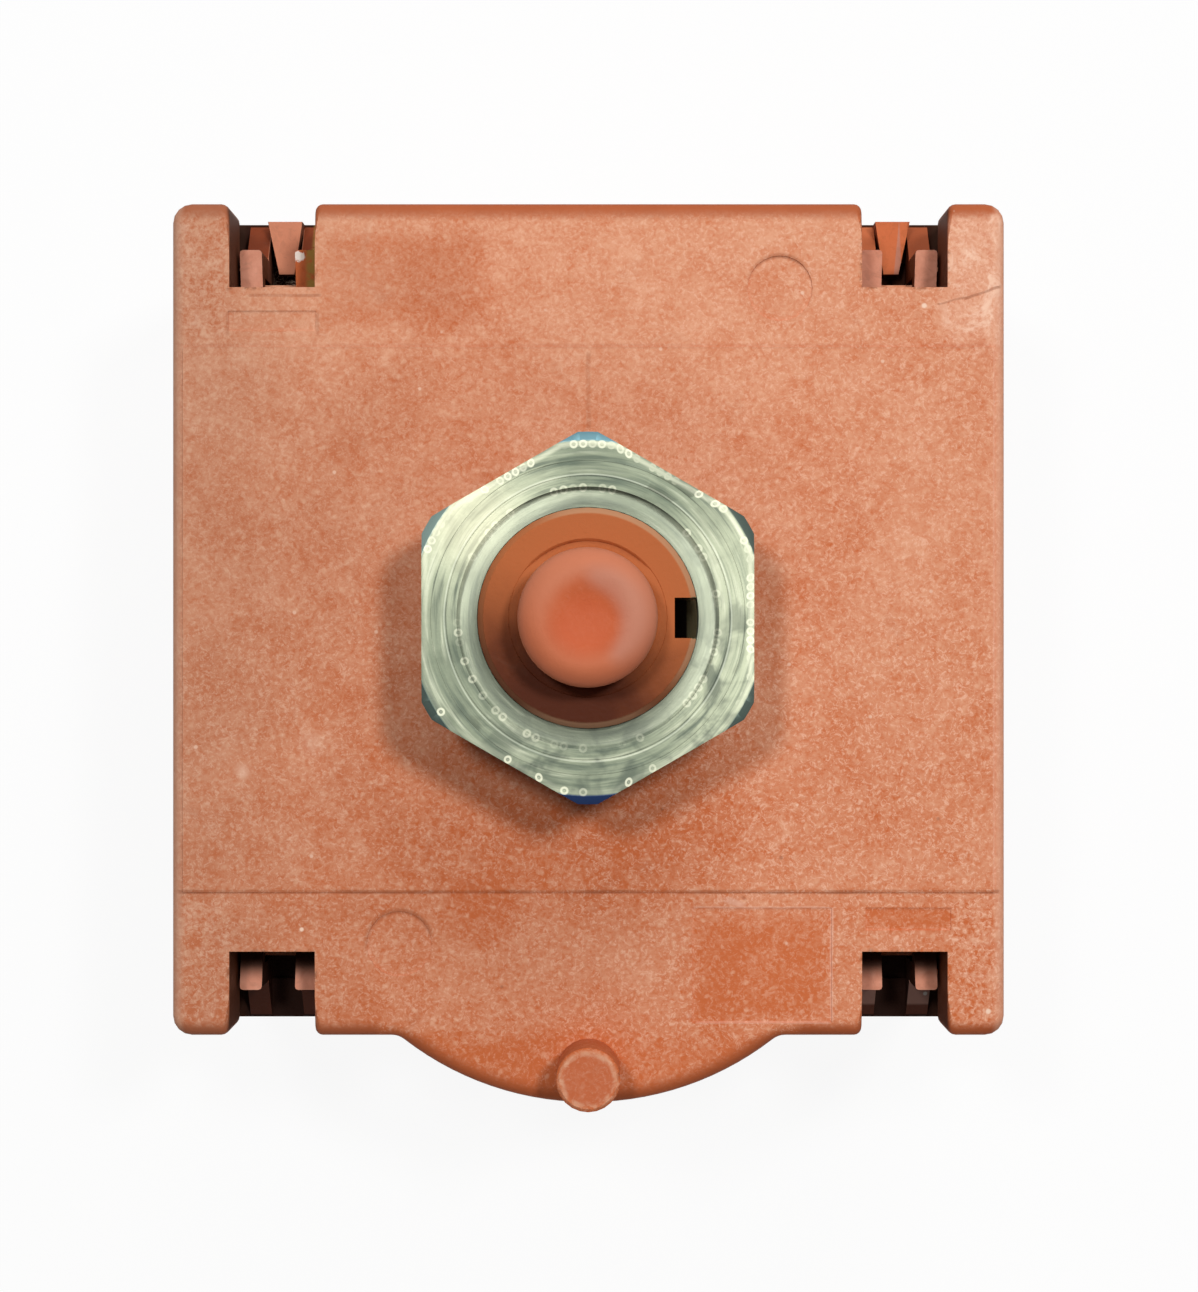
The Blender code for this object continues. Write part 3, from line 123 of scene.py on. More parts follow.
def carve(piece, tool, operation="DIFFERENCE"):
    apply(piece, "BOOLEAN", operation=operation, solver="EXACT", object=tool)
    bpy.data.objects.remove(tool, do_unlink=True)
    return piece


def smooth(piece, angle=32.0):
    pick(piece)
    bpy.ops.object.shade_smooth_by_angle(angle=radians(angle))
    return piece


def rod(name, radius, low, high, sides, place=(0.0, 0.0)):
    """Upright round or many-sided rod, in millimetres."""
    deselect_all()
    bpy.ops.mesh.primitive_cylinder_add(
        vertices=sides, radius=radius * MM, depth=(high - low) * MM,
        location=(place[0] * MM, place[1] * MM, (low + high) / 2 * MM),
    )
    return settle(named(name))


def grow_end(piece, up, length, factor):
    """Extrudes the upper or lower end of an upright piece and scales it, for a chamfer."""
    pick(piece)
    bpy.ops.object.mode_set(mode="EDIT")
    choose(piece, "FACE", lambda face: face.normal.z * up > 0.9)
    bpy.ops.mesh.extrude_region_move(
        TRANSFORM_OT_translate={"value": (0.0, 0.0, up * length * MM)}
    )
    bpy.ops.transform.resize(value=(factor, factor, 1.0))
    bpy.ops.object.mode_set(mode="OBJECT")
    return piece


def is_broad(face):
    """False for the low risers of the moulded relief, which are too fine to round."""
    spans = sorted(
        max(v.co[axis] for v in face.verts) - min(v.co[axis] for v in face.verts)
        for axis in range(3)
    )
    return spans[1] > 0.2 * MM


def at_mouth(edge, place):
    """True for the upright corner of a notch's mouth, over its rolled edge to the front."""
    upright = abs(edge.verts[0].co.x - edge.verts[1].co.x) < 0.02 * MM
    return upright and edge.calc_length() > 0.02 * MM and all(
        abs(abs(vert.co.x) - place * MM) < 0.02 * MM
        and abs(vert.co.y) > 17.55 * MM
        for vert in edge.verts
    )


def dressed_copy(node, name, rounding, corner=35.0, mouths=()):
    """A copy of a CAD node with facets joined, sharp edges rounded and curves made smooth."""
    piece = bpy.data.objects.new(name, nodes[node].data.copy())
    piece.data.name = name
    bpy.context.scene.collection.objects.link(piece)
    pick(piece)
    bpy.ops.object.mode_set(mode="EDIT")
    bpy.ops.mesh.select_all(action="SELECT")
    bpy.ops.mesh.remove_doubles(threshold=0.002 * MM)
    bpy.ops.mesh.dissolve_limited(angle_limit=radians(0.5))
    bpy.ops.mesh.customdata_custom_splitnormals_clear()
    for place, size in mouths:
        choose(piece, "EDGE", lambda edge: at_mouth(edge, place))
        bpy.ops.mesh.bevel(offset=size * MM, segments=4, profile=0.5, clamp_overlap=False)
    if rounding > 0.0:
        choose(piece, "EDGE", lambda edge: (
            len(edge.link_faces) == 2
            and edge.calc_face_angle(0.0) > radians(corner)
            and edge.calc_length() > 2.5 * rounding * MM
            and all(is_broad(face) for face in edge.link_faces)
        ))
        bpy.ops.mesh.bevel(offset=rounding * MM, segments=2, profile=0.5, clamp_overlap=True)
    bpy.ops.object.mode_set(mode="OBJECT")
    smooth(piece, 40.0)
    apply(piece, "WEIGHTED_NORMAL", keep_sharp=True, weight=80)
    return piece


# Shader recipes

class Value:
    """A number socket that can be used in sums."""

    def __init__(self, recipe, socket):
        self.recipe = recipe
        self.socket = socket

    def maths(self, operation, *others):
        return self.recipe.maths(operation, self, *others)

    def __add__(self, other):
        return self.maths("ADD", other)

    def __sub__(self, other):
        return self.maths("SUBTRACT", other)

    def __mul__(self, other):
        return self.maths("MULTIPLY", other)

    def __radd__(self, other):
        return self.recipe.maths("ADD", other, self)

    def __rsub__(self, other):
        return self.recipe.maths("SUBTRACT", other, self)

    def __rmul__(self, other):
        return self.recipe.maths("MULTIPLY", other, self)

    def __abs__(self):
        return self.maths("ABSOLUTE")


class Recipe:
    """One node material, built up in millimetres on Object coordinates."""

    def __init__(self, name):
        self.material = bpy.data.materials.new(name)
        self.material.use_nodes = True
        self.tree = self.material.node_tree
        self.shader = self.tree.nodes["Principled BSDF"]
        self.place = self.node("TexCoord").outputs["Object"]
        self.facing = self.node("TexCoord").outputs["Normal"]
        split = self.node("SeparateXYZ", sockets={"Vector": self.scaled(self.place, 1000.0)})
        self.x, self.y, self.z = (Value(self, split.outputs[axis]) for axis in "XYZ")
        turned = self.node("SeparateXYZ", sockets={"Vector": self.facing})
        self.normal_x, self.normal_y, self.normal_z = (
            Value(self, turned.outputs[axis]) for axis in "XYZ"
        )

    def node(self, kind, settings=None, sockets=None):
        """Any node: its type, then its settings, then the values or links of its sockets."""
        made = self.tree.nodes.new("ShaderNode" + kind)
        for key, value in (settings or {}).items():
            setattr(made, key, value)
        for key, value in (sockets or {}).items():
            source = value.socket if isinstance(value, Value) else value
            if isinstance(source, bpy.types.NodeSocket):
                self.tree.links.new(source, made.inputs[key])
            else:
                made.inputs[key].default_value = source
        return made

    def maths(self, operation, *terms):
        made = self.node("Math", {"operation": operation}, dict(enumerate(terms)))
        return Value(self, made.outputs[0])

    def scaled(self, vector, factor):
        made = self.node(
            "VectorMath", {"operation": "SCALE"}, {0: vector, "Scale": factor}
        )
        return made.outputs[0]

    def step(self, value, low, high):
        """0 below low, 1 above high, smooth between; low may be the larger."""
        made = self.node(
            "MapRange", {"interpolation_type": "SMOOTHSTEP"},
            {"Value": value, "From Min": low, "From Max": high, "To Min": 0.0, "To Max": 1.0},
        )
        return Value(self, made.outputs[0])

    def noise(self, size, detail=3.0, roughness=0.55, warp=0.0, shift=0.0, stretch=(1, 1, 1)):
        """Cloudy noise with features of about this size in millimetres."""
        mapped = self.node("Mapping", {}, {
            "Vector": self.place, "Location": (shift, shift * 0.7, -shift), "Scale": stretch,
        })
        made = self.node("TexNoise", {}, {
            "Vector": mapped.outputs[0], "Scale": 1000.0 / size, "Detail": detail,
            "Roughness": roughness, "Distortion": warp,
        })
        return Value(self, made.outputs[0])

    def cells(self, size, shift=0.0):
        """Distance to the nearest of many scattered points, this many millimetres apart."""
        mapped = self.node("Mapping", {}, {
            "Vector": self.place, "Location": (shift, -shift, shift * 0.3),
        })
        made = self.node("TexVoronoi", {"feature": "F1"}, {
            "Vector": mapped.outputs[0], "Scale": 1000.0 / size,
        })
        return Value(self, made.outputs["Distance"])

    def larger(self, *masks):
        total = masks[0]
        for mask in masks[1:]:
            total = total.maths("MAXIMUM", mask)
        return total

    def box_mask(self, x0, x1, y0, y1, soft):
        """1 inside an upright rectangle of the front, with a soft edge."""
        across = abs(self.x - (x0 + x1) / 2) - (x1 - x0) / 2
        along = abs(self.y - (y0 + y1) / 2) - (y1 - y0) / 2
        return self.step(self.larger(across, along), soft / 2, -soft / 2)

    def disc_mask(self, x, y, radius, soft):
        return self.step(self.distance_to(x, y), radius + soft / 2, radius - soft / 2)

    def distance_to(self, x, y):
        dx = self.x - x
        dy = self.y - y
        return (dx * dx + dy * dy).maths("SQRT")

    def line_mask(self, start, end, width, wobble=None):
        """1 on a thin line between two points of the front."""
        run = Vector(end) - Vector(start)
        length = run.length
        tx, ty = run / length
        dx = self.x - start[0]
        dy = self.y - start[1]
        along = dx * tx + dy * ty
        across = dx * -ty + dy * tx
        if wobble is not None:
            across = across + wobble
        near = self.step(abs(across), width, width * 0.3)
        middle = abs(along - length / 2)
        return near * self.step(middle, length / 2, length / 2 - width * 2)

    def blend(self, factor, first, second, kind="MIX"):
        """Mixes two colours."""
        made = self.node("Mix", {"data_type": "RGBA", "blend_type": kind}, {0: factor})
        for place, colour in ((6, first), (7, second)):
            if isinstance(colour, bpy.types.NodeSocket):
                self.tree.links.new(colour, made.inputs[place])
            else:
                made.inputs[place].default_value = (*colour, 1.0)
        return made.outputs[2]

    def bump(self, height, depth, under=None):
        """Turns a height from 0 to 1 into a bump of this depth in millimetres."""
        sockets = {"Height": height, "Strength": 1.0, "Distance": depth * MM}
        if under is not None:
            sockets["Normal"] = under
        return self.node("Bump", {}, sockets).outputs[0]

    def finish(self, colour, roughness, normal=None, metallic=0.0, **constants):
        values = {"Base Color": colour, "Roughness": roughness, "Metallic": metallic}
        if normal is not None:
            values["Normal"] = normal
        for key, value in values.items():
            source = value.socket if isinstance(value, Value) else value
            if isinstance(source, bpy.types.NodeSocket):
                self.tree.links.new(source, self.shader.inputs[key])
            elif isinstance(source, tuple):
                self.shader.inputs[key].default_value = (*source, 1.0)
            else:
                self.shader.inputs[key].default_value = source
        for key, value in constants.items():
            self.shader.inputs[key.replace("_", " ")].default_value = value
        return self.material


def housing_finish():
    """Mineral-filled thermoset: brick-orange resin under a pinkish, finely mottled skin."""
    r = Recipe("moulded thermoset")
    front = r.step(r.normal_z, 0.80, 0.98)
    flank = r.step(abs(r.normal_x), 0.15, 0.45) * r.step(abs(r.x), 18.0, 18.1)
    end_walls = r.step(abs(r.normal_y), 0.55, 0.85) * r.step(r.z, 20.2, 19.2)
    front = r.larger(front, flank, end_walls * 0.85, r.step(r.normal_z, -0.80, -0.95))
    on_face = r.step(r.z, 20.6, 20.85)
    from_axis = r.distance_to(0.0, 0.0)
    on_bush = r.step(r.z, 21.5, 22.0) * r.step(from_axis, 5.3, 5.1)
    lower = r.step(r.y, 1.0, -1.0)
    flecks = r.noise(0.17, 3.0, 0.6, 0.5)
    grains = r.step(r.cells(0.34), 0.42, 0.10)
    curls = r.noise(0.70, 3.0, 0.6, 1.2, 14.0)
    blotches = r.noise(2.0, 3.0, 0.55, 0.7, 3.0)
    drifts = r.noise(8.0, 3.0, 0.5, 0.8, 8.0)

    # How thick the pale skin lies: more at the top, worn and thin at the edges and below the nut;
    # its slow paling to the right is painted light
    skin = 0.54 + (drifts - 0.5) * 0.70 + (blotches - 0.5) * (0.58 - lower * 0.10)
    skin = skin + r.y * 0.0105 + r.x * 0.003
    below_nut = r.step(r.distance_to(-0.5, -7.0), 10.5, 2.0)
    skin = skin - below_nut * 0.22 + r.box_mask(-7.0, 3.5, -17.0, -13.2, 2.0) * 0.14
    smooth_patches = r.larger(
        r.box_mask(4.8, 10.6, -17.7, -13.0, 1.1) * 0.68,
        r.box_mask(-11.9, -4.5, 13.0, 17.1, 0.9) * 0.42,
        r.box_mask(12.3, 16.1, -13.8, -12.8, 0.4) * 0.7,
        r.disc_mask(*PIN_PRINTS[0], PIN_PRINT_RADIUS, 0.3) * 0.15,
        r.step(r.y, -18.0, -18.9) * 0.45,
        r.disc_mask(-5.0, -12.9, 1.6, 1.0) * 0.4,
    )
    skin = skin - smooth_patches * 0.50
    on_ears = r.step(abs(r.x), 15.2, 16.6) * r.step(abs(r.y), 11.0, 13.5)
    coarse = 1.0 - smooth_patches * 0.15 + on_ears * 0.7
    texture = ((flecks - 0.5) * 1.35 + (curls - 0.5) * 1.05) * coarse + grains * 0.10
    pale = (skin + texture - 0.02).maths("MAXIMUM", 0.0).maths("MINIMUM", 1.0)
    pale = pale * (0.12 + front * 0.88) * (1.0 - on_bush)

    resin = r.blend(drifts, (0.530, 0.124, 0.038), (0.620, 0.158, 0.052))
    bloom = r.blend(blotches, (0.702, 0.311, 0.178), (0.792, 0.392, 0.243))
    colour = r.blend(pale, resin, bloom)

    # Bare resin where the front rolls over to the upper, lower and lobe sides, painted darker than
    # the resin itself as painted shade
    from_lobe = r.distance_to(0.0, -8.1)
    rolled = r.larger(
        r.step(r.y + (curls - 0.5) * 0.25, 17.62, 18.14),
        r.step(r.y + (curls - 0.5) * 0.25, -17.70, -18.20) * r.step(abs(r.x), 8.9, 9.6),
        r.step(from_lobe, 12.45, 13.10) * r.step(r.y, -18.1, -18.7),
    ) * r.step(r.z, 18.5, 20.0) * r.step(r.z, 21.3, 21.1)
    colour = r.blend(rolled * (0.55 + blotches * 0.5), colour, (0.400, 0.098, 0.036))
    flat_face = on_face * (1.0 - on_bush) * (1.0 - rolled)
    chalk = r.step(r.noise(0.55, 4.0, 0.65, 0.6, 61.0), 0.54, 0.70)
    clumps = r.step(r.noise(1.5, 4.0, 0.7, 0.8, 67.0), 0.50, 0.66)
    # The right ear's extra chalk and its even lightening below are painted light
    right_ear = on_ears * r.step(r.x, 14.0, 16.0) * (1.0 - lower)
    chalk = chalk * (0.09 + on_ears * 0.20 + right_ear * 0.26)
    chalk = chalk + clumps * (right_ear * 0.80 + on_ears * 0.16)
    colour = r.blend(chalk * flat_face, colour, (0.900, 0.570, 0.410))
    # Painted light: the rounded left and right side edges lightened against their shading
    side_edge_light = r.step(abs(r.x), 17.85, 18.25) * r.step(r.z, 20.0, 20.4)
    colour = r.blend(side_edge_light * 0.45, colour, (0.860, 0.450, 0.300))
    # Painted light: the right ear lightened evenly
    colour = r.blend(right_ear * flat_face * 0.20, colour, (0.960, 0.620, 0.460))
    # Painted highlights: short bright glint strokes of the orange-peel surface, stronger to the
    # right
    glint_strokes = r.step(abs(r.noise(0.42, 2.0, 0.5, 1.2, 55.0) - 0.5), 0.050, 0.012)
    glint_strokes = glint_strokes * r.step(flecks, 0.40, 0.58) * (1.0 - smooth_patches * 0.8)
    glint_strokes = glint_strokes * (0.22 + r.step(r.x, -6.0, 12.0) * 0.14 + lower * 0.10)
    colour = r.blend(glint_strokes * flat_face, colour, (0.940, 0.570, 0.410))
    bright_grains = r.step(r.cells(0.52, shift=17.0), 0.34, 0.10) * r.step(curls, 0.42, 0.56)
    colour = r.blend(bright_grains * flat_face * 0.34, colour, (0.860, 0.490, 0.320))
    # Painted shade: the face greyer and darker toward the left side
    left_shade = r.step(r.x + (drifts - 0.5) * 8.0, -5.0, -19.0)
    colour = r.blend(left_shade * 0.24, colour, (0.160, 0.166, 0.126))
    near_nut = r.step(r.distance_to(-2.0, 3.5), 13.0, 6.0)
    colour = r.blend(near_nut * 0.10, colour, (0.260, 0.170, 0.120))
    stain = r.box_mask(-11.6, -5.0, 13.4, 17.0, 2.2)
    colour = r.blend(stain * 0.13, colour, (0.260, 0.095, 0.050))

    # Sparse pale and dark specks of the filler
    pale_speck = r.step(r.cells(2.3, shift=5.0), 0.050, 0.022)
    dark_speck = r.step(r.cells(2.9, shift=11.0), 0.040, 0.020)
    pale_speck = r.larger(
        pale_speck * 0.55,
        r.disc_mask(14.91, 13.93, 0.11, 0.10),
        r.disc_mask(-12.73, -13.76, 0.09, 0.08),
        r.disc_mask(17.75, -17.40, 0.11, 0.10),
        r.disc_mask(-15.35, -6.74, 0.26, 0.50) * 0.40,
        r.disc_mask(-12.30, -5.50, 0.40, 0.90) * 0.22,
    ) * on_face
    colour = r.blend(pale_speck * 0.85, colour, (0.930, 0.680, 0.520))
    colour = r.blend(dark_speck * 0.40, colour, (0.220, 0.080, 0.045))

    # Marks on the front: parting lines, a flow line, a hairline crack and pin prints
    wobble = (r.noise(1.2, 2.0, 0.5, 0.0, 21.0) - 0.5) * 0.10
    lower_line = r.line_mask((-18.4, -FIELD_LINE_Y), (18.4, -FIELD_LINE_Y), 0.13, wobble * 0.6)
    upper_line = r.line_mask((-18.0, 12.12), (18.0, 12.12), 0.16, wobble * 0.6)
    flow_line = r.line_mask((0.0, 8.3), (0.0, 12.0), 0.15, wobble * 1.4)
    crack = r.larger(
        r.line_mask((15.4, 14.03), (16.9, 14.32), 0.075, wobble * 3.2) * 0.75,
        r.line_mask((16.6, 14.22), (18.4, 14.86), 0.090, wobble * 3.2),
        r.line_mask((6.75, -12.25), (7.05, -12.50), 0.10) * 0.9,
    )
    notch_outline = r.larger(
        r.line_mask((-15.2, 14.38), (-11.8, 14.38), 0.10, wobble * 0.6) * 0.9,
        r.line_mask((-16.02, 13.75), (-16.02, 12.5), 0.11, wobble) * 0.6,
        r.line_mask((-12.02, 13.75), (-12.02, 12.5), 0.11, wobble) * 0.6,
    )
    # The pin prints are darkened mainly along their upper arcs, the painted shade of their recess
    # walls
    upper_print = r.step(abs(r.distance_to(*PIN_PRINTS[0]) - PIN_PRINT_RADIUS), 0.17, 0.03)
    upper_print = upper_print * (0.12 + r.step(r.y, 14.9, 15.9) * 0.88)
    lower_print = r.step(abs(r.distance_to(*PIN_PRINTS[1]) - PIN_PRINT_RADIUS), 0.20, 0.03)
    lower_print = lower_print * r.step(r.y - r.x * 0.2, -13.0, -12.2)
    patchy = 0.55 + r.step(r.noise(2.2, 2.0, 0.5, 0.0, 71.0), 0.35, 0.65) * 0.45
    lines = r.larger(
        lower_line * 0.58, upper_line * 0.16, flow_line * 0.30, crack * 0.80,
        upper_print * 0.45, lower_print * 0.50, notch_outline * 0.45,
    ) * on_face * patchy
    colour = r.blend(lines, colour, (0.250, 0.058, 0.018))
    # Pale outlines of the label patch; the line at x = 18 along the step at the right side is a
    # painted highlight
    light_lines = r.larger(
        r.line_mask((18.0, -12.0), (18.0, 12.0), 0.07) * 0.4,
        r.line_mask((4.7, -17.9), (10.8, -17.9), 0.09, wobble) * 0.7,
        r.line_mask((10.8, -17.9), (10.8, -12.7), 0.10, wobble) * 0.8,
        r.line_mask((4.6, -12.78), (10.8, -12.78), 0.07, wobble) * 0.6,
        r.line_mask((4.3, -17.4), (4.6, -17.8), 0.14) * 0.8,
        r.line_mask((5.9, -12.35), (7.1, -12.80), 0.20, wobble) * 0.9,
    ) * on_face
    colour = r.blend(light_lines * 0.40, colour, (0.860, 0.540, 0.420))

    # Notches: painted shade on their walls, floors, hook sides, hook ends and undercuts, real soot
    # along their rims, pale hook tops, and the slopes' bare resin in painted lit and shaded tones
    to_notch_x = abs(abs(r.x) - NOTCH_X) - NOTCH_WIDTH / 2
    to_notch_y = NOTCH_FLOOR_Y - abs(r.y)
    near_notch = r.step(r.larger(to_notch_x, to_notch_y), 0.22, -0.06)
    outer_wall = r.step(abs(r.y), HALF_SIDE - 0.035, HALF_SIDE - 0.015)
    outer_wall = outer_wall * r.step(abs(r.normal_y), 0.5, 0.8)
    in_notch = near_notch * r.step(r.z, 20.9, 20.6) * r.step(r.z, 11.45, 11.60)
    in_notch = in_notch * (1.0 - outer_wall)
    rough_edge = r.step(r.noise(0.5, 3.0, 0.7, 0.5, 31.0), 0.50, 0.66)
    on_ear_wall = r.step(abs(r.normal_x), 0.4, 0.8) * r.step(abs(r.x), 15.80, 15.90)
    on_floor_wall = r.step(abs(r.normal_y), 0.5, 0.9) * r.step(to_notch_y, -0.9, -0.5)
    toward_front = r.step(r.normal_z, 0.45, 0.80)
    slopes = in_notch * r.step(r.z, 14.8, 14.4)
    hook_tops = in_notch * r.step(r.z, 16.2, 16.5) * r.step(r.z, 18.2, 17.9)
    floors = slopes * r.step(r.z, 12.15, 12.05)
    upper_left = r.step(r.x, -1.0, -2.0) * (1.0 - lower)
    on_tongue = slopes * r.step(abs(abs(r.x) - NOTCH_X), 0.80, 0.74) * (1.0 - lower)
    # Painted light and shade: the slopes bright in the upper right notch apart from its outer
    # side, darker in the upper left with a paler tongue, and near black in the lower notches
    slope_tone = r.blend(upper_left, (0.760, 0.195, 0.072), (0.270, 0.045, 0.012))
    slope_tone = r.blend(on_tongue * upper_left, slope_tone, (0.780, 0.300, 0.175))
    ear_slope = r.step(r.x, 14.7, 14.8) * (1.0 - lower)
    slope_tone = r.blend(ear_slope * 0.8, slope_tone, (0.420, 0.085, 0.028))
    slope_tone = r.blend(lower, slope_tone, (0.060, 0.0090, 0.0030))
    colour = r.blend(slopes * 0.92, colour, slope_tone)
    # Painted highlight: a pale narrow band on the slopes of the right notches
    narrow_facet = r.step(abs(r.x - 14.36) + (r.y - 15.9) * 0.07, 0.22, 0.15)
    narrow_facet = narrow_facet * slopes * r.step(r.z, 12.6, 12.8)
    colour = r.blend(narrow_facet * 0.55, colour, (0.600, 0.330, 0.260))
    top_tone = r.blend(curls, (0.640, 0.240, 0.145), (0.900, 0.430, 0.300))
    inner_prong = r.box_mask(-13.4, -12.2, 14.0, 18.0, 0.1)
    top_tone = r.blend(inner_prong * (1.0 - lower), top_tone, (0.560, 0.125, 0.036))
    colour = r.blend(hook_tops * toward_front * 0.9, colour, top_tone)
    shaded_sides = in_notch * (1.0 - toward_front) * r.step(r.z, 17.9, 17.5)
    shaded_end = hook_tops * r.step(abs(r.y), 16.45, 15.60) * lower
    undercut = r.step(abs(r.x), 15.84, 15.92) * r.step(abs(r.x), 16.80, 16.62)
    undercut = undercut * r.step(r.z, 16.15, 15.95) * r.step(r.z, 11.7, 11.9)
    undercut = undercut * r.step(abs(r.y), 15.8, 15.9) * (1.0 - outer_wall)
    # Painted shade in the notches, with real soot along their rims
    soot_and_shade = r.larger(
        on_ear_wall * 0.96, on_floor_wall * 0.94, shaded_sides * (0.72 + lower * 0.24),
        floors * 0.96, shaded_end * 0.95, rough_edge * 0.10,
    ) * in_notch
    soot_and_shade = r.larger(soot_and_shade, near_notch * (1.0 - in_notch) * rough_edge * on_face * 0.55)
    soot_and_shade = r.larger(soot_and_shade, undercut * 0.97)
    colour = r.blend(soot_and_shade, colour, (0.0150, 0.0045, 0.0022))
    amber = r.step(r.x, -12.92, -12.68) * r.step(r.x, -12.17, -12.21) * in_notch
    amber = amber * r.step(r.z, 17.9, 17.7) * (1.0 - lower) * r.step(r.normal_z, 0.35, 0.60)
    amber = amber * r.step(r.noise(0.8, 3.0, 0.6, 0.4, 41.0), 0.30, 0.50)
    colour = r.blend(amber * 0.85, colour, (0.380, 0.250, 0.060))
    fibres = r.step(abs(r.noise(0.45, 3.0, 0.6, 1.6, 91.0) - 0.5), 0.035, 0.010)
    fibres = fibres * r.box_mask(-14.7, -13.4, 15.2, 16.5, 0.3) * floors
    colour = r.blend(fibres * 0.75, colour, (0.420, 0.330, 0.240))
    # Painted highlight: a white glint on the inner hook of the upper left notch
    glint = r.step(r.distance_to(-13.10, 16.48) + (flecks - 0.5) * 0.5, 0.25, 0.19)
    glint = glint * r.step(r.z, 16.2, 16.6)
    colour = r.blend(glint * in_notch, colour, (0.950, 0.840, 0.740))
    # Painted highlight: a small glint in the lower right notch
    lower_glint = r.disc_mask(15.60, -17.30, 0.09, 0.08) * in_notch
    colour = r.blend(lower_glint * 0.7, colour, (0.620, 0.600, 0.560))

    # The end of the bush: bare resin, painted shade thickest on its lower left, a painted
    # highlight on its rim, and painted black shade in the key slot
    round_bush = r.y.maths("ARCTAN2", r.x)
    toward = (round_bush - radians(-108.0)).maths("COSINE")
    # Painted shade on the end of the bush, thickest on its lower left
    bush_shade = r.step(toward + (blotches - 0.5) * 0.6, -0.40, 0.95) * on_bush * r.step(r.z, 29.0, 29.5)
    colour = r.blend(on_bush * 0.85, colour, (0.430, 0.124, 0.038))
    colour = r.blend(bush_shade * 0.93, colour, (0.062, 0.0120, 0.0050))
    # Painted highlight on the rim of the bush, strongest on its upper right
    bush_rim = on_bush * r.step(from_axis, 4.36, 4.46) * r.step(r.z, 29.6, 29.72)
    upper_right_rim = r.step(r.x + r.y * 0.8, 0.5, 3.0)
    lowest_rim = r.step(r.y, -3.4, -4.4)
    bush_rim = bush_rim * (0.15 + upper_right_rim * 0.6 + lowest_rim * 0.4)
    colour = r.blend(bush_rim * 0.8, colour, (0.560, 0.330, 0.190))
    # Painted shade: the key slot filled black, with an olive strip at its outer end
    key_slot = r.step(from_axis, 5.1, 4.9) * r.step(r.x, 3.48, 3.60) * r.step(abs(r.y), 0.90, 0.86)
    key_slot = key_slot * r.step(r.z, 29.97, 29.86)
    colour = r.blend(key_slot, colour, (0.0060, 0.0022, 0.0012))
    colour = r.blend(key_slot * r.step(r.x, 4.32, 4.42), colour, (0.200, 0.170, 0.090))

    # Worn cream rim and bare middle on the locating peg's end
    from_peg = r.distance_to(PEG[0], PEG[1])
    on_peg = r.step(r.z, 24.4, 24.8)
    worn_rim = r.step(abs(from_peg + (curls - 0.5) * 0.20 - 1.18), 0.20, 0.04) * on_peg
    colour = r.blend(on_peg * r.step(from_peg, 1.25, 1.05) * 0.55, colour, (0.500, 0.130, 0.058))
    colour = r.blend(worn_rim * r.step(curls, 0.26, 0.60) * 0.55, colour, (0.740, 0.430, 0.280))

    # Faint grey smudges of handling
    smudge = r.step(r.noise(5.0, 4.0, 0.6, 1.2, 51.0), 0.60, 0.76) * front
    colour = r.blend(smudge * 0.12, colour, (0.30, 0.17, 0.12))

    rough = 0.66 - (1.0 - pale) * 0.14 - smooth_patches * 0.10 - bush_shade * 0.04
    height = flecks * 0.5 + grains * 0.25 + curls * 0.4 + blotches * 0.6
    relief = r.bump(height, 0.020)
    relief = r.bump(1.0 - lines, 0.020, relief)
    return r.finish(colour, rough, relief, Specular_IOR_Level=0.05)


def spindle_finish():
    """Finer, smoother moulding of the same colour, dusty at its rim and polished in its dimple,
    with painted light on the end: the rim paler above and a pale sheen on the right.
    """
    r = Recipe("moulded spindle")
    flecks = r.noise(0.18, 4.0, 0.6, 0.3)
    clouds = r.noise(1.4, 3.0, 0.55, 0.8, 4.0)
    reach = r.distance_to(0.0, 0.0)
    on_end = r.step(r.z, 31.5, 33.0)
    rim = r.step(reach + (clouds - 0.5) * 0.7, 1.20, 2.10) * on_end
    # Painted light: the dusty rim paler on its upper side
    rim = rim * (0.55 + r.step(r.y + r.x * 0.3, -2.0, 1.5) * 0.45)
    dust = r.step(flecks + clouds * 0.7, 0.76, 1.10)
    pale = r.larger(rim * 0.50, dust * 0.20)
    colour = r.blend(clouds, (0.470, 0.100, 0.034), (0.560, 0.132, 0.048))
    colour = r.blend(pale, colour, (0.600, 0.250, 0.150))
    polished = r.disc_mask(-0.12, -0.30, 1.30, 1.10) * on_end
    colour = r.blend(polished * 0.60, colour, (0.560, 0.104, 0.034))
    # Painted highlight: a pale sheen on the right of the spindle's end
    crescent = r.disc_mask(0.55, 0.0, 2.05, 0.9) * (1.0 - r.disc_mask(-0.15, -0.25, 1.50, 0.7))
    crescent = crescent * r.step(r.x + r.y * 0.3, 0.0, 1.0) * on_end
    colour = r.blend(crescent * 0.40, colour, (0.480, 0.250, 0.190))
    rough = 0.50 + pale * 0.2
    relief = r.bump(flecks * 0.6 + clouds, 0.018)
    return r.finish(colour, rough, relief, Specular_IOR_Level=0.10)


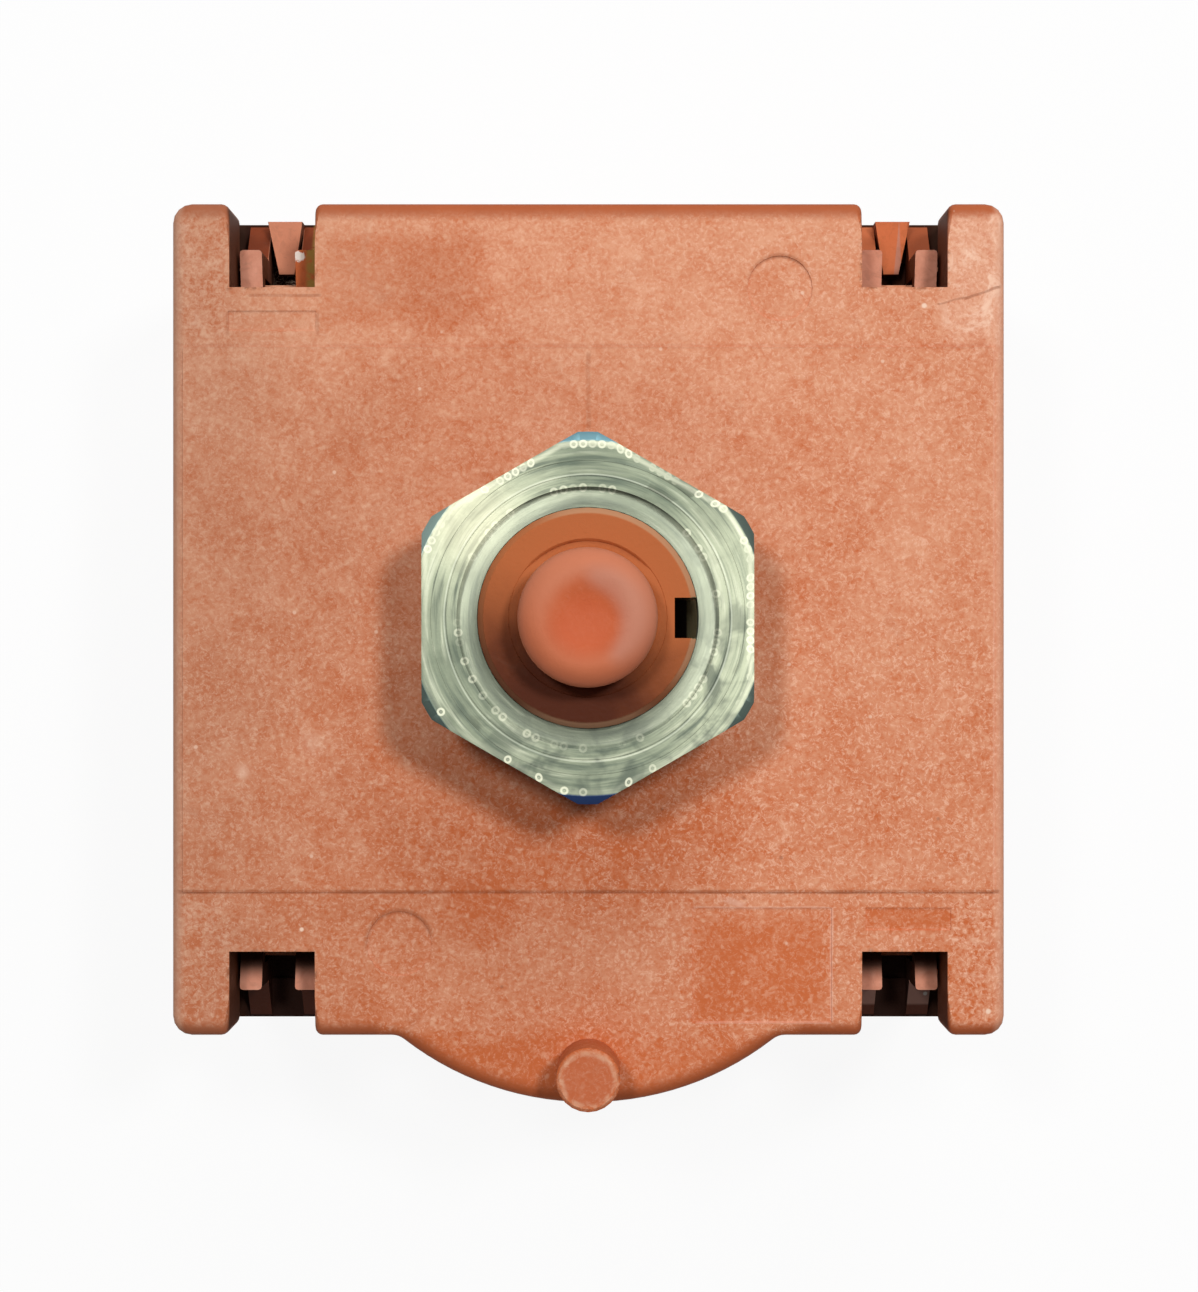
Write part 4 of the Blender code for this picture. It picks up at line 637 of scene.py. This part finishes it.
def nut_finish():
    """Turned steel under a greenish zinc plate, bluish on the sloping corners."""
    r = Recipe("plated nut")
    reach = r.distance_to(0.0, 0.0)
    angle = r.y.maths("ARCTAN2", r.x)
    turning = {}
    for name, across, around in (("broad", 3.2, 1.5), ("fine", 11.0, 2.4)):
        polar = r.node("CombineXYZ", {}, {
            "X": reach * across,
            "Y": angle.maths("SINE") * around,
            "Z": angle.maths("COSINE") * around,
        }).outputs[0]
        made = r.node("TexNoise", {}, {
            "Vector": polar, "Scale": 1.0, "Detail": 3.0, "Roughness": 0.55,
        })
        turning[name] = Value(r, made.outputs[0])
    on_top = r.step(r.normal_z, 0.90, 0.99)
    mottle = r.noise(1.7, 3.0, 0.6, 0.5, 6.0)
    large = r.noise(3.2, 3.0, 0.5, 0.6, 9.0)
    fine = r.noise(0.12, 3.0, 0.6, 0.0, 2.0)

    # Painted highlights: the plate brighter at the upper left and the right, and darker above and
    # below
    left_lobe = r.step((angle - radians(142.0)).maths("COSINE"), 0.62, 1.0)
    right_lobe = r.step((angle - radians(-6.0)).maths("COSINE"), 0.40, 1.0)
    highlight_lobes = r.larger(left_lobe * 0.95, right_lobe)
    level = (large - 0.5) * 0.6 + 0.16 + highlight_lobes * 0.66 + r.step(r.y, -3.5, -6.0) * 0.10
    colour = r.blend(level, (0.105, 0.128, 0.086), (0.370, 0.398, 0.278))
    streaks = turning["broad"]
    colour = r.blend(r.step(streaks, 0.52, 0.30) * 0.80, colour, (0.042, 0.058, 0.042))
    colour = r.blend(r.step(streaks, 0.52, 0.74) * 0.60, colour, (0.500, 0.520, 0.390))
    colour = r.blend(r.step(turning["fine"], 0.50, 0.30) * 0.40, colour, (0.080, 0.100, 0.076))
    # Painted highlight: a pale glow on the upper left of the face
    glow = r.step(r.distance_to(-5.0, 4.2), 3.0, 0.6) * on_top
    colour = r.blend(glow * 0.32, colour, (0.700, 0.670, 0.470))
    worn = r.step(mottle, 0.46, 0.66) * (0.18 + r.step(r.x * 0.7 - r.y * 1.3, 0.0, 7.5) * 0.82)
    colour = r.blend(worn * 0.66, colour, (0.040, 0.054, 0.042))
    # The countersunk seat is paler, more so under the painted highlights
    seat = r.step(reach, NUT_SEAT_RADIUS, NUT_SEAT_RADIUS - 0.10)
    colour = r.blend(seat * (0.20 + highlight_lobes * 0.25), colour, (0.520, 0.560, 0.430))

    # Blue passivation on the sloping corners, in painted lit and shaded tones: pale blue above,
    # deep blue below, dark and light teal at the sides
    outside = r.step(reach, NUT_FACE_RADIUS - 0.08, NUT_FACE_RADIUS + 0.02)
    outside = outside * r.step(r.z, 28.4, 28.9) * r.step(r.normal_z, 0.20, 0.40)
    upper = outside * r.step(r.y, 6.2, 7.2)
    lower = outside * r.step(r.y, -6.2, -7.2)
    side = outside * r.step(abs(r.x), 4.0, 5.6)
    colour = r.blend(upper * 0.92, colour, (0.125, 0.262, 0.310))
    colour = r.blend(lower * 0.98, colour, (0.006, 0.026, 0.100))
    side_tone = r.blend(r.step(r.y - r.x, 6.0, 10.0), (0.056, 0.086, 0.076), (0.200, 0.290, 0.270))
    colour = r.blend(side * 0.9, colour, side_tone)

    # Chains of tiny bright rings along the worn chamfer and round the countersink
    flats = r.larger(
        abs(r.x), abs(r.x * 0.5 + r.y * 0.8660), abs(r.x * 0.5 - r.y * 0.8660),
    ) - (NUT_ACROSS_FLATS / 2 - 0.16)

    def ring_chain(off_line, count, pitch, seed):
        turns = angle * (count / (2 * pi))
        along = (turns.maths("FRACT") - 0.5) * pitch
        from_middle = (along * along + off_line * off_line).maths("SQRT")
        chance = Value(r, r.node("TexWhiteNoise", {"noise_dimensions": "1D"}, {
            "W": turns.maths("FLOOR") + seed,
        }).outputs["Value"])
        ring = r.step(abs(from_middle - 0.125), 0.070, 0.025)
        return r.larger(ring, r.step(from_middle, 0.06, 0.02) * 0.35), chance

    upper_sides = r.step(r.y + r.x * 0.35, -2.6, 0.4)
    outer_line = r.larger(flats, reach - (NUT_FACE_RADIUS - 0.17))
    outer_rings, outer_chance = ring_chain(outer_line, 116, 0.385, 3.5)
    inner_rings, inner_chance = ring_chain(reach - (NUT_SEAT_RADIUS + 0.04), 84, 0.410, 9.5)
    scarce = r.step(outer_chance, 0.90, 0.95) * (1.0 - upper_sides)
    shown = r.larger(r.step(outer_chance, 0.30, 0.40) * upper_sides, scarce)
    outer_rings = outer_rings * shown * (0.20 + r.step(outer_chance, 0.35, 1.0) * 0.35)
    rings = r.larger(outer_rings, inner_rings * r.step(inner_chance, 0.45, 0.95) * 0.30)
    worn_line = r.step(abs(outer_line), 0.16, 0.02) * (0.08 + upper_sides * 0.20)
    third_ring = r.step(abs(reach - 6.05), 0.05, 0.01)
    colour = r.blend(r.larger(rings, worn_line) * on_top, colour, (0.68, 0.68, 0.52))
    # Painted highlight: a pale line over the seat's edge, covering its dark reflection
    seat_line = r.step(abs(reach - (NUT_SEAT_RADIUS - 0.02)), 0.12, 0.02)
    seat_line = seat_line * r.step(r.z, 29.5, 29.7)
    colour = r.blend(seat_line * 0.30, colour, (0.80, 0.80, 0.63))
    colour = r.blend(third_ring * on_top * 0.2, colour, (0.75, 0.78, 0.64))

    rough = 0.42 + mottle * 0.14 + streaks * 0.10
    relief = r.bump(streaks * 0.5 + turning["fine"] * 0.5, 0.008)
    relief = r.bump(fine + mottle, 0.005, relief)
    return r.finish(colour, rough, relief, 0.70)


def nylon_finish():
    """Natural nylon, slightly cloudy."""
    r = Recipe("natural nylon")
    clouds = r.noise(2.5, 3.0, 0.5, 0.5)
    fine = r.noise(0.25, 3.0, 0.6)
    colour = r.blend(clouds, (0.66, 0.62, 0.53), (0.80, 0.77, 0.69))
    return r.finish(colour, 0.38 + fine * 0.16, r.bump(fine, 0.008))


def metal_finish(name, dark, light, roughness, grain_size, stretch):
    """Rolled or drawn metal: long grain, cloudy tarnish and tiny scratches."""
    r = Recipe(name)
    grain = r.noise(grain_size, 4.0, 0.65, 0.0, 3.0, stretch)
    tarnish = r.noise(1.8, 4.0, 0.6, 0.7, 7.0)
    spots = r.step(r.cells(0.9, shift=4.0), 0.10, 0.04)
    colour = r.blend(r.step(tarnish, 0.35, 0.70), light, dark)
    colour = r.blend(grain * 0.35, colour, light)
    colour = r.blend(spots * 0.4, colour, tuple(c * 0.45 for c in dark))
    rough = roughness + tarnish * 0.14 + grain * 0.08
    return r.finish(colour, rough, r.bump(grain, 0.008), 1.0)


def put_on(piece, material):
    piece.data.materials.clear()
    piece.data.materials.append(material)
    for face in piece.data.polygons:
        face.material_index = 0


def join_object(piece, body, slot, material, *stands_for):
    put_on(piece, material)
    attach(piece, body)
    if stands_for:
        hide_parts(*stands_for)


# Pieces

def make_cover():
    """The front cover with soft moulded edges and rounded notch mouths."""
    sides = (NOTCH_X - NOTCH_WIDTH / 2, NOTCH_X + NOTCH_WIDTH / 2)
    return dressed_copy("front_cover", "cover", 0.09, mouths=((sides[0], 0.32), (sides[1], 0.40)))


def make_base():
    return dressed_copy("rear_base", "base", 0.09)


def make_spindle():
    return smooth(dressed_copy("spindle", "turning_spindle", 0.0), 35.0)


def make_grease_ring():
    """Hardened grease in the recess round the spindle, sunk away above it."""
    ring = rod("grease_ring", 3.33, 29.70, 29.97, 72)
    carve(ring, rod("spindle_shape", 2.93, 29.5, 30.2, 72))
    pick(ring)
    bpy.ops.object.mode_set(mode="EDIT")
    choose(ring, "FACE", lambda face: face.normal.z > 0.9)
    bpy.ops.mesh.inset(thickness=0.05 * MM, depth=0.012 * MM)
    choose(ring, "VERT", lambda vert: vert.co.z > 29.9 * MM and vert.co.y > 2.6 * MM)
    bpy.ops.transform.translate(
        value=(0.0, 0.0, -0.17 * MM), use_proportional_edit=True,
        proportional_edit_falloff="SMOOTH", proportional_size=1.2 * MM,
    )
    bpy.ops.object.mode_set(mode="OBJECT")
    return smooth(ring, 50.0)


def make_bush_thread():
    """Rolled ridge of the bush's fine thread, up to the underside of the nut."""
    pitch = 0.75
    low = FACE_Z + 0.45
    turns = (NUT_LOW_Z - 0.45 - low) / pitch
    deselect_all()
    start = (BUSH_ROOT_RADIUS * MM, 0.0, low * MM)
    bpy.ops.mesh.primitive_plane_add(size=0.5 * MM, location=start)
    ridge = named("bush_thread")
    bpy.ops.object.mode_set(mode="EDIT")
    bpy.ops.mesh.select_all(action="SELECT")
    bpy.ops.transform.rotate(
        value=radians(90.0), orient_axis="X", orient_type="GLOBAL", center_override=start,
    )
    choose(ridge, "VERT", lambda vert: vert.co.x > 0.0)
    bpy.ops.transform.resize(value=(1.0, 1.0, 0.22))
    bpy.ops.mesh.select_all(action="SELECT")
    bpy.ops.mesh.delete(type="ONLY_FACE")
    bpy.ops.object.mode_set(mode="OBJECT")
    settle(ridge)
    steps = int(48 * turns)
    apply(
        ridge, "SCREW", angle=2 * pi * turns, screw_offset=pitch * turns * MM,
        steps=steps, render_steps=steps, axis="Z", use_merge_vertices=False,
    )
    bpy.ops.object.mode_set(mode="EDIT")
    bpy.ops.mesh.select_mode(type="EDGE")
    bpy.ops.mesh.select_all(action="DESELECT")
    bpy.ops.mesh.select_non_manifold()
    bpy.ops.mesh.edge_face_add()
    bpy.ops.mesh.select_all(action="SELECT")
    bpy.ops.mesh.normals_make_consistent(inside=False)
    bpy.ops.object.mode_set(mode="OBJECT")
    deselect_all()
    bpy.ops.mesh.primitive_cube_add(size=1.0 * MM, location=(5.0 * MM, 0.0, 25.0 * MM))
    cutter = named("slot_cutter")
    bpy.ops.transform.resize(value=(2.4, KEY_SLOT_WIDTH, 12.0))
    settle(cutter)
    carve(ridge, cutter)
    smooth(ridge, 30.0)
    return ridge


def make_nut():
    """Hexagon nut: chamfered corners, a countersunk bore and turned rings on its face."""
    across_corners = NUT_ACROSS_FLATS / cos(pi / 6)
    nut = rod("nut", across_corners / 2, NUT_LOW_Z, NUT_HIGH_Z, 6)
    drop = 0.26
    widest = 7.85
    envelope = rod("chamfer_shape", widest, NUT_LOW_Z + drop, NUT_HIGH_Z - drop, 144)
    for up in (1, -1):
        grow_end(envelope, up, drop, NUT_FACE_RADIUS / widest)
    carve(nut, envelope, "INTERSECT")

    bore = rod("bore_shape", NUT_BORE_RADIUS, NUT_LOW_Z + 0.12, NUT_HIGH_Z - 0.12, 96)
    for up in (1, -1):
        grow_end(bore, up, 0.13, NUT_SEAT_RADIUS / NUT_BORE_RADIUS)
        grow_end(bore, up, 0.5, 1.0)
    carve(nut, bore)

    # Shallow grooves left by the turning tool
    for radius, depth in ((5.98, 0.016), (6.62, 0.012)):
        deselect_all()
        bpy.ops.mesh.primitive_torus_add(
            major_segments=144, minor_segments=8, major_radius=radius * MM,
            minor_radius=0.06 * MM, location=(0.0, 0.0, (NUT_HIGH_Z + 0.06 - depth) * MM),
        )
        carve(nut, settle(named("groove_shape")))
    pick(nut)
    bpy.ops.object.mode_set(mode="EDIT")
    choose(nut, "EDGE", lambda edge: (
        len(edge.link_faces) == 2 and edge.calc_face_angle(0.0) > radians(20.0)
        and (edge.verts[0].co.xy.length > 6.9 * MM or edge.verts[0].co.xy.length < 5.6 * MM)
        and edge.calc_length() > 0.02 * MM
    ))
    bpy.ops.mesh.bevel(offset=0.05 * MM, segments=2, profile=0.5, clamp_overlap=True)
    bpy.ops.object.mode_set(mode="OBJECT")
    smooth(nut, 30.0)
    apply(nut, "WEIGHTED_NORMAL", keep_sharp=True, weight=80)
    return nut


housing = housing_finish()
spindle_skin = spindle_finish()
zinc = nut_finish()
nylon = nylon_finish()
silver = metal_finish(
    "contact silver", (0.62, 0.60, 0.56), (0.86, 0.85, 0.82), 0.26, 0.5, (1, 1, 1))
copper = metal_finish(
    "contact copper", (0.55, 0.26, 0.14), (0.83, 0.50, 0.34), 0.28, 0.5, (1, 1, 6))
tinned = metal_finish(
    "tinned brass", (0.52, 0.47, 0.36), (0.78, 0.74, 0.62), 0.30, 0.4, (6, 6, 1))
sprung = metal_finish(
    "spring steel", (0.34, 0.34, 0.34), (0.62, 0.62, 0.62), 0.26, 0.4, (1, 1, 6))

join_object(make_cover(), "housing", "housing_plastic", housing, "front_cover")
join_object(make_base(), "housing", "housing_plastic", housing, "rear_base")
join_object(make_bush_thread(), "housing", "housing_plastic", housing)
join_object(make_grease_ring(), "housing", "housing_plastic", housing)
join_object(make_spindle(), "rotor", "spindle_plastic", spindle_skin, "spindle")
join_object(make_nut(), "nut", "plated_steel", zinc, "hex_nut")
for number in range(1, 9):
    tab = dressed_copy(f"terminal_{number}", f"tab_{number}", 0.07)
    join_object(tab, "housing", "tinned_brass", tinned, f"terminal_{number}")

finish_by_start = {
    "partition": nylon, "cam": nylon, "index": nylon, "detent": sprung, "plunger_spring": sprung,
    "plunger": nylon, "bridge": copper, "moving": silver, "fixed": silver, "terminal": tinned,
    "front": housing, "rear": housing, "spindle": spindle_skin, "hex": zinc,
}
for node_name, part in nodes.items():
    start = max((s for s in finish_by_start if node_name.startswith(s)), key=len)
    put_on(part, finish_by_start[start])


# Stage, lights and camera

def make_floor():
    deselect_all()
    just_below = (TAB_END_Z - 0.05) * MM
    bpy.ops.mesh.primitive_plane_add(size=3.0, location=(0.0, 0.0, just_below))
    floor = named("floor")
    paper = bpy.data.materials.new("white paper")
    paper.use_nodes = True
    tree = paper.node_tree
    surface = tree.nodes["Principled BSDF"]
    surface.inputs["Base Color"].default_value = (0.86, 0.86, 0.86, 1.0)
    surface.inputs["Roughness"].default_value = 0.9
    glow = tree.nodes.new("ShaderNodeEmission")
    rays = tree.nodes.new("ShaderNodeLightPath")
    seen = tree.nodes.new("ShaderNodeMath")
    seen.operation = "MULTIPLY"
    seen.inputs[1].default_value = 0.92
    tree.links.new(rays.outputs["Is Camera Ray"], seen.inputs[0])
    mix = tree.nodes.new("ShaderNodeMixShader")
    tree.links.new(seen.outputs[0], mix.inputs[0])
    tree.links.new(surface.outputs[0], mix.inputs[1])
    tree.links.new(glow.outputs[0], mix.inputs[2])
    tree.links.new(mix.outputs[0], tree.nodes["Material Output"].inputs["Surface"])
    put_on(floor, paper)


def make_world():
    world = bpy.data.worlds.new("studio")
    bpy.context.scene.world = world
    world.use_nodes = True
    tree = world.node_tree
    background = tree.nodes["Background"]
    background.inputs["Color"].default_value = (1.0, 1.0, 1.0, 1.0)
    rays = tree.nodes.new("ShaderNodeLightPath")
    seen = tree.nodes.new("ShaderNodeMath")
    seen.operation = "MAXIMUM"
    tree.links.new(rays.outputs["Is Camera Ray"], seen.inputs[0])
    tree.links.new(rays.outputs["Is Glossy Ray"], seen.inputs[1])
    level = tree.nodes.new("ShaderNodeMapRange")
    level.inputs["To Min"].default_value = 0.09
    level.inputs["To Max"].default_value = 1.0
    tree.links.new(seen.outputs[0], level.inputs["Value"])
    tree.links.new(level.outputs[0], background.inputs["Strength"])


def add_lamp(name, place, size, level):
    """Soft square lamp, in millimetres; level is the share of white on a white front."""
    lamp = bpy.data.lights.new(name, "AREA")
    lamp.size = size * MM
    item = bpy.data.objects.new(name, lamp)
    bpy.context.scene.collection.objects.link(item)
    item.location = Vector(place) * MM
    aim = Vector((0.0, 0.0, FACE_Z * MM)) - item.location
    lamp.energy = level * pi ** 2 * aim.length ** 3 / -aim.z
    item.rotation_euler = aim.to_track_quat("-Z", "Y").to_euler()


def add_camera():
    """Square on to the front and a little off the spindle's axis."""
    lens = bpy.data.cameras.new("view")
    lens.sensor_fit = "HORIZONTAL"
    lens.sensor_width = SENSOR_WIDTH
    lens.lens = SENSOR_WIDTH * CAMERA_DISTANCE / FACE_WIDTH_IN_VIEW
    lens.clip_start = 0.01
    lens.clip_end = 10.0
    camera = bpy.data.objects.new("camera", lens)
    bpy.context.scene.collection.objects.link(camera)
    camera.location = Vector((*CAMERA_OFF_AXIS, FACE_Z + CAMERA_DISTANCE)) * MM
    bpy.context.scene.camera = camera


make_floor()
make_world()
add_lamp("right", (99.0, 78.0, 441.0), 40.0, 0.41)
add_lamp("left", (-75.0, 78.0, 441.0), 40.0, 0.31)
add_lamp("upper", (60.0, 250.0, 200.0), 150.0, 0.19)
add_camera()
bpy.context.scene.view_settings.view_transform = "Standard"
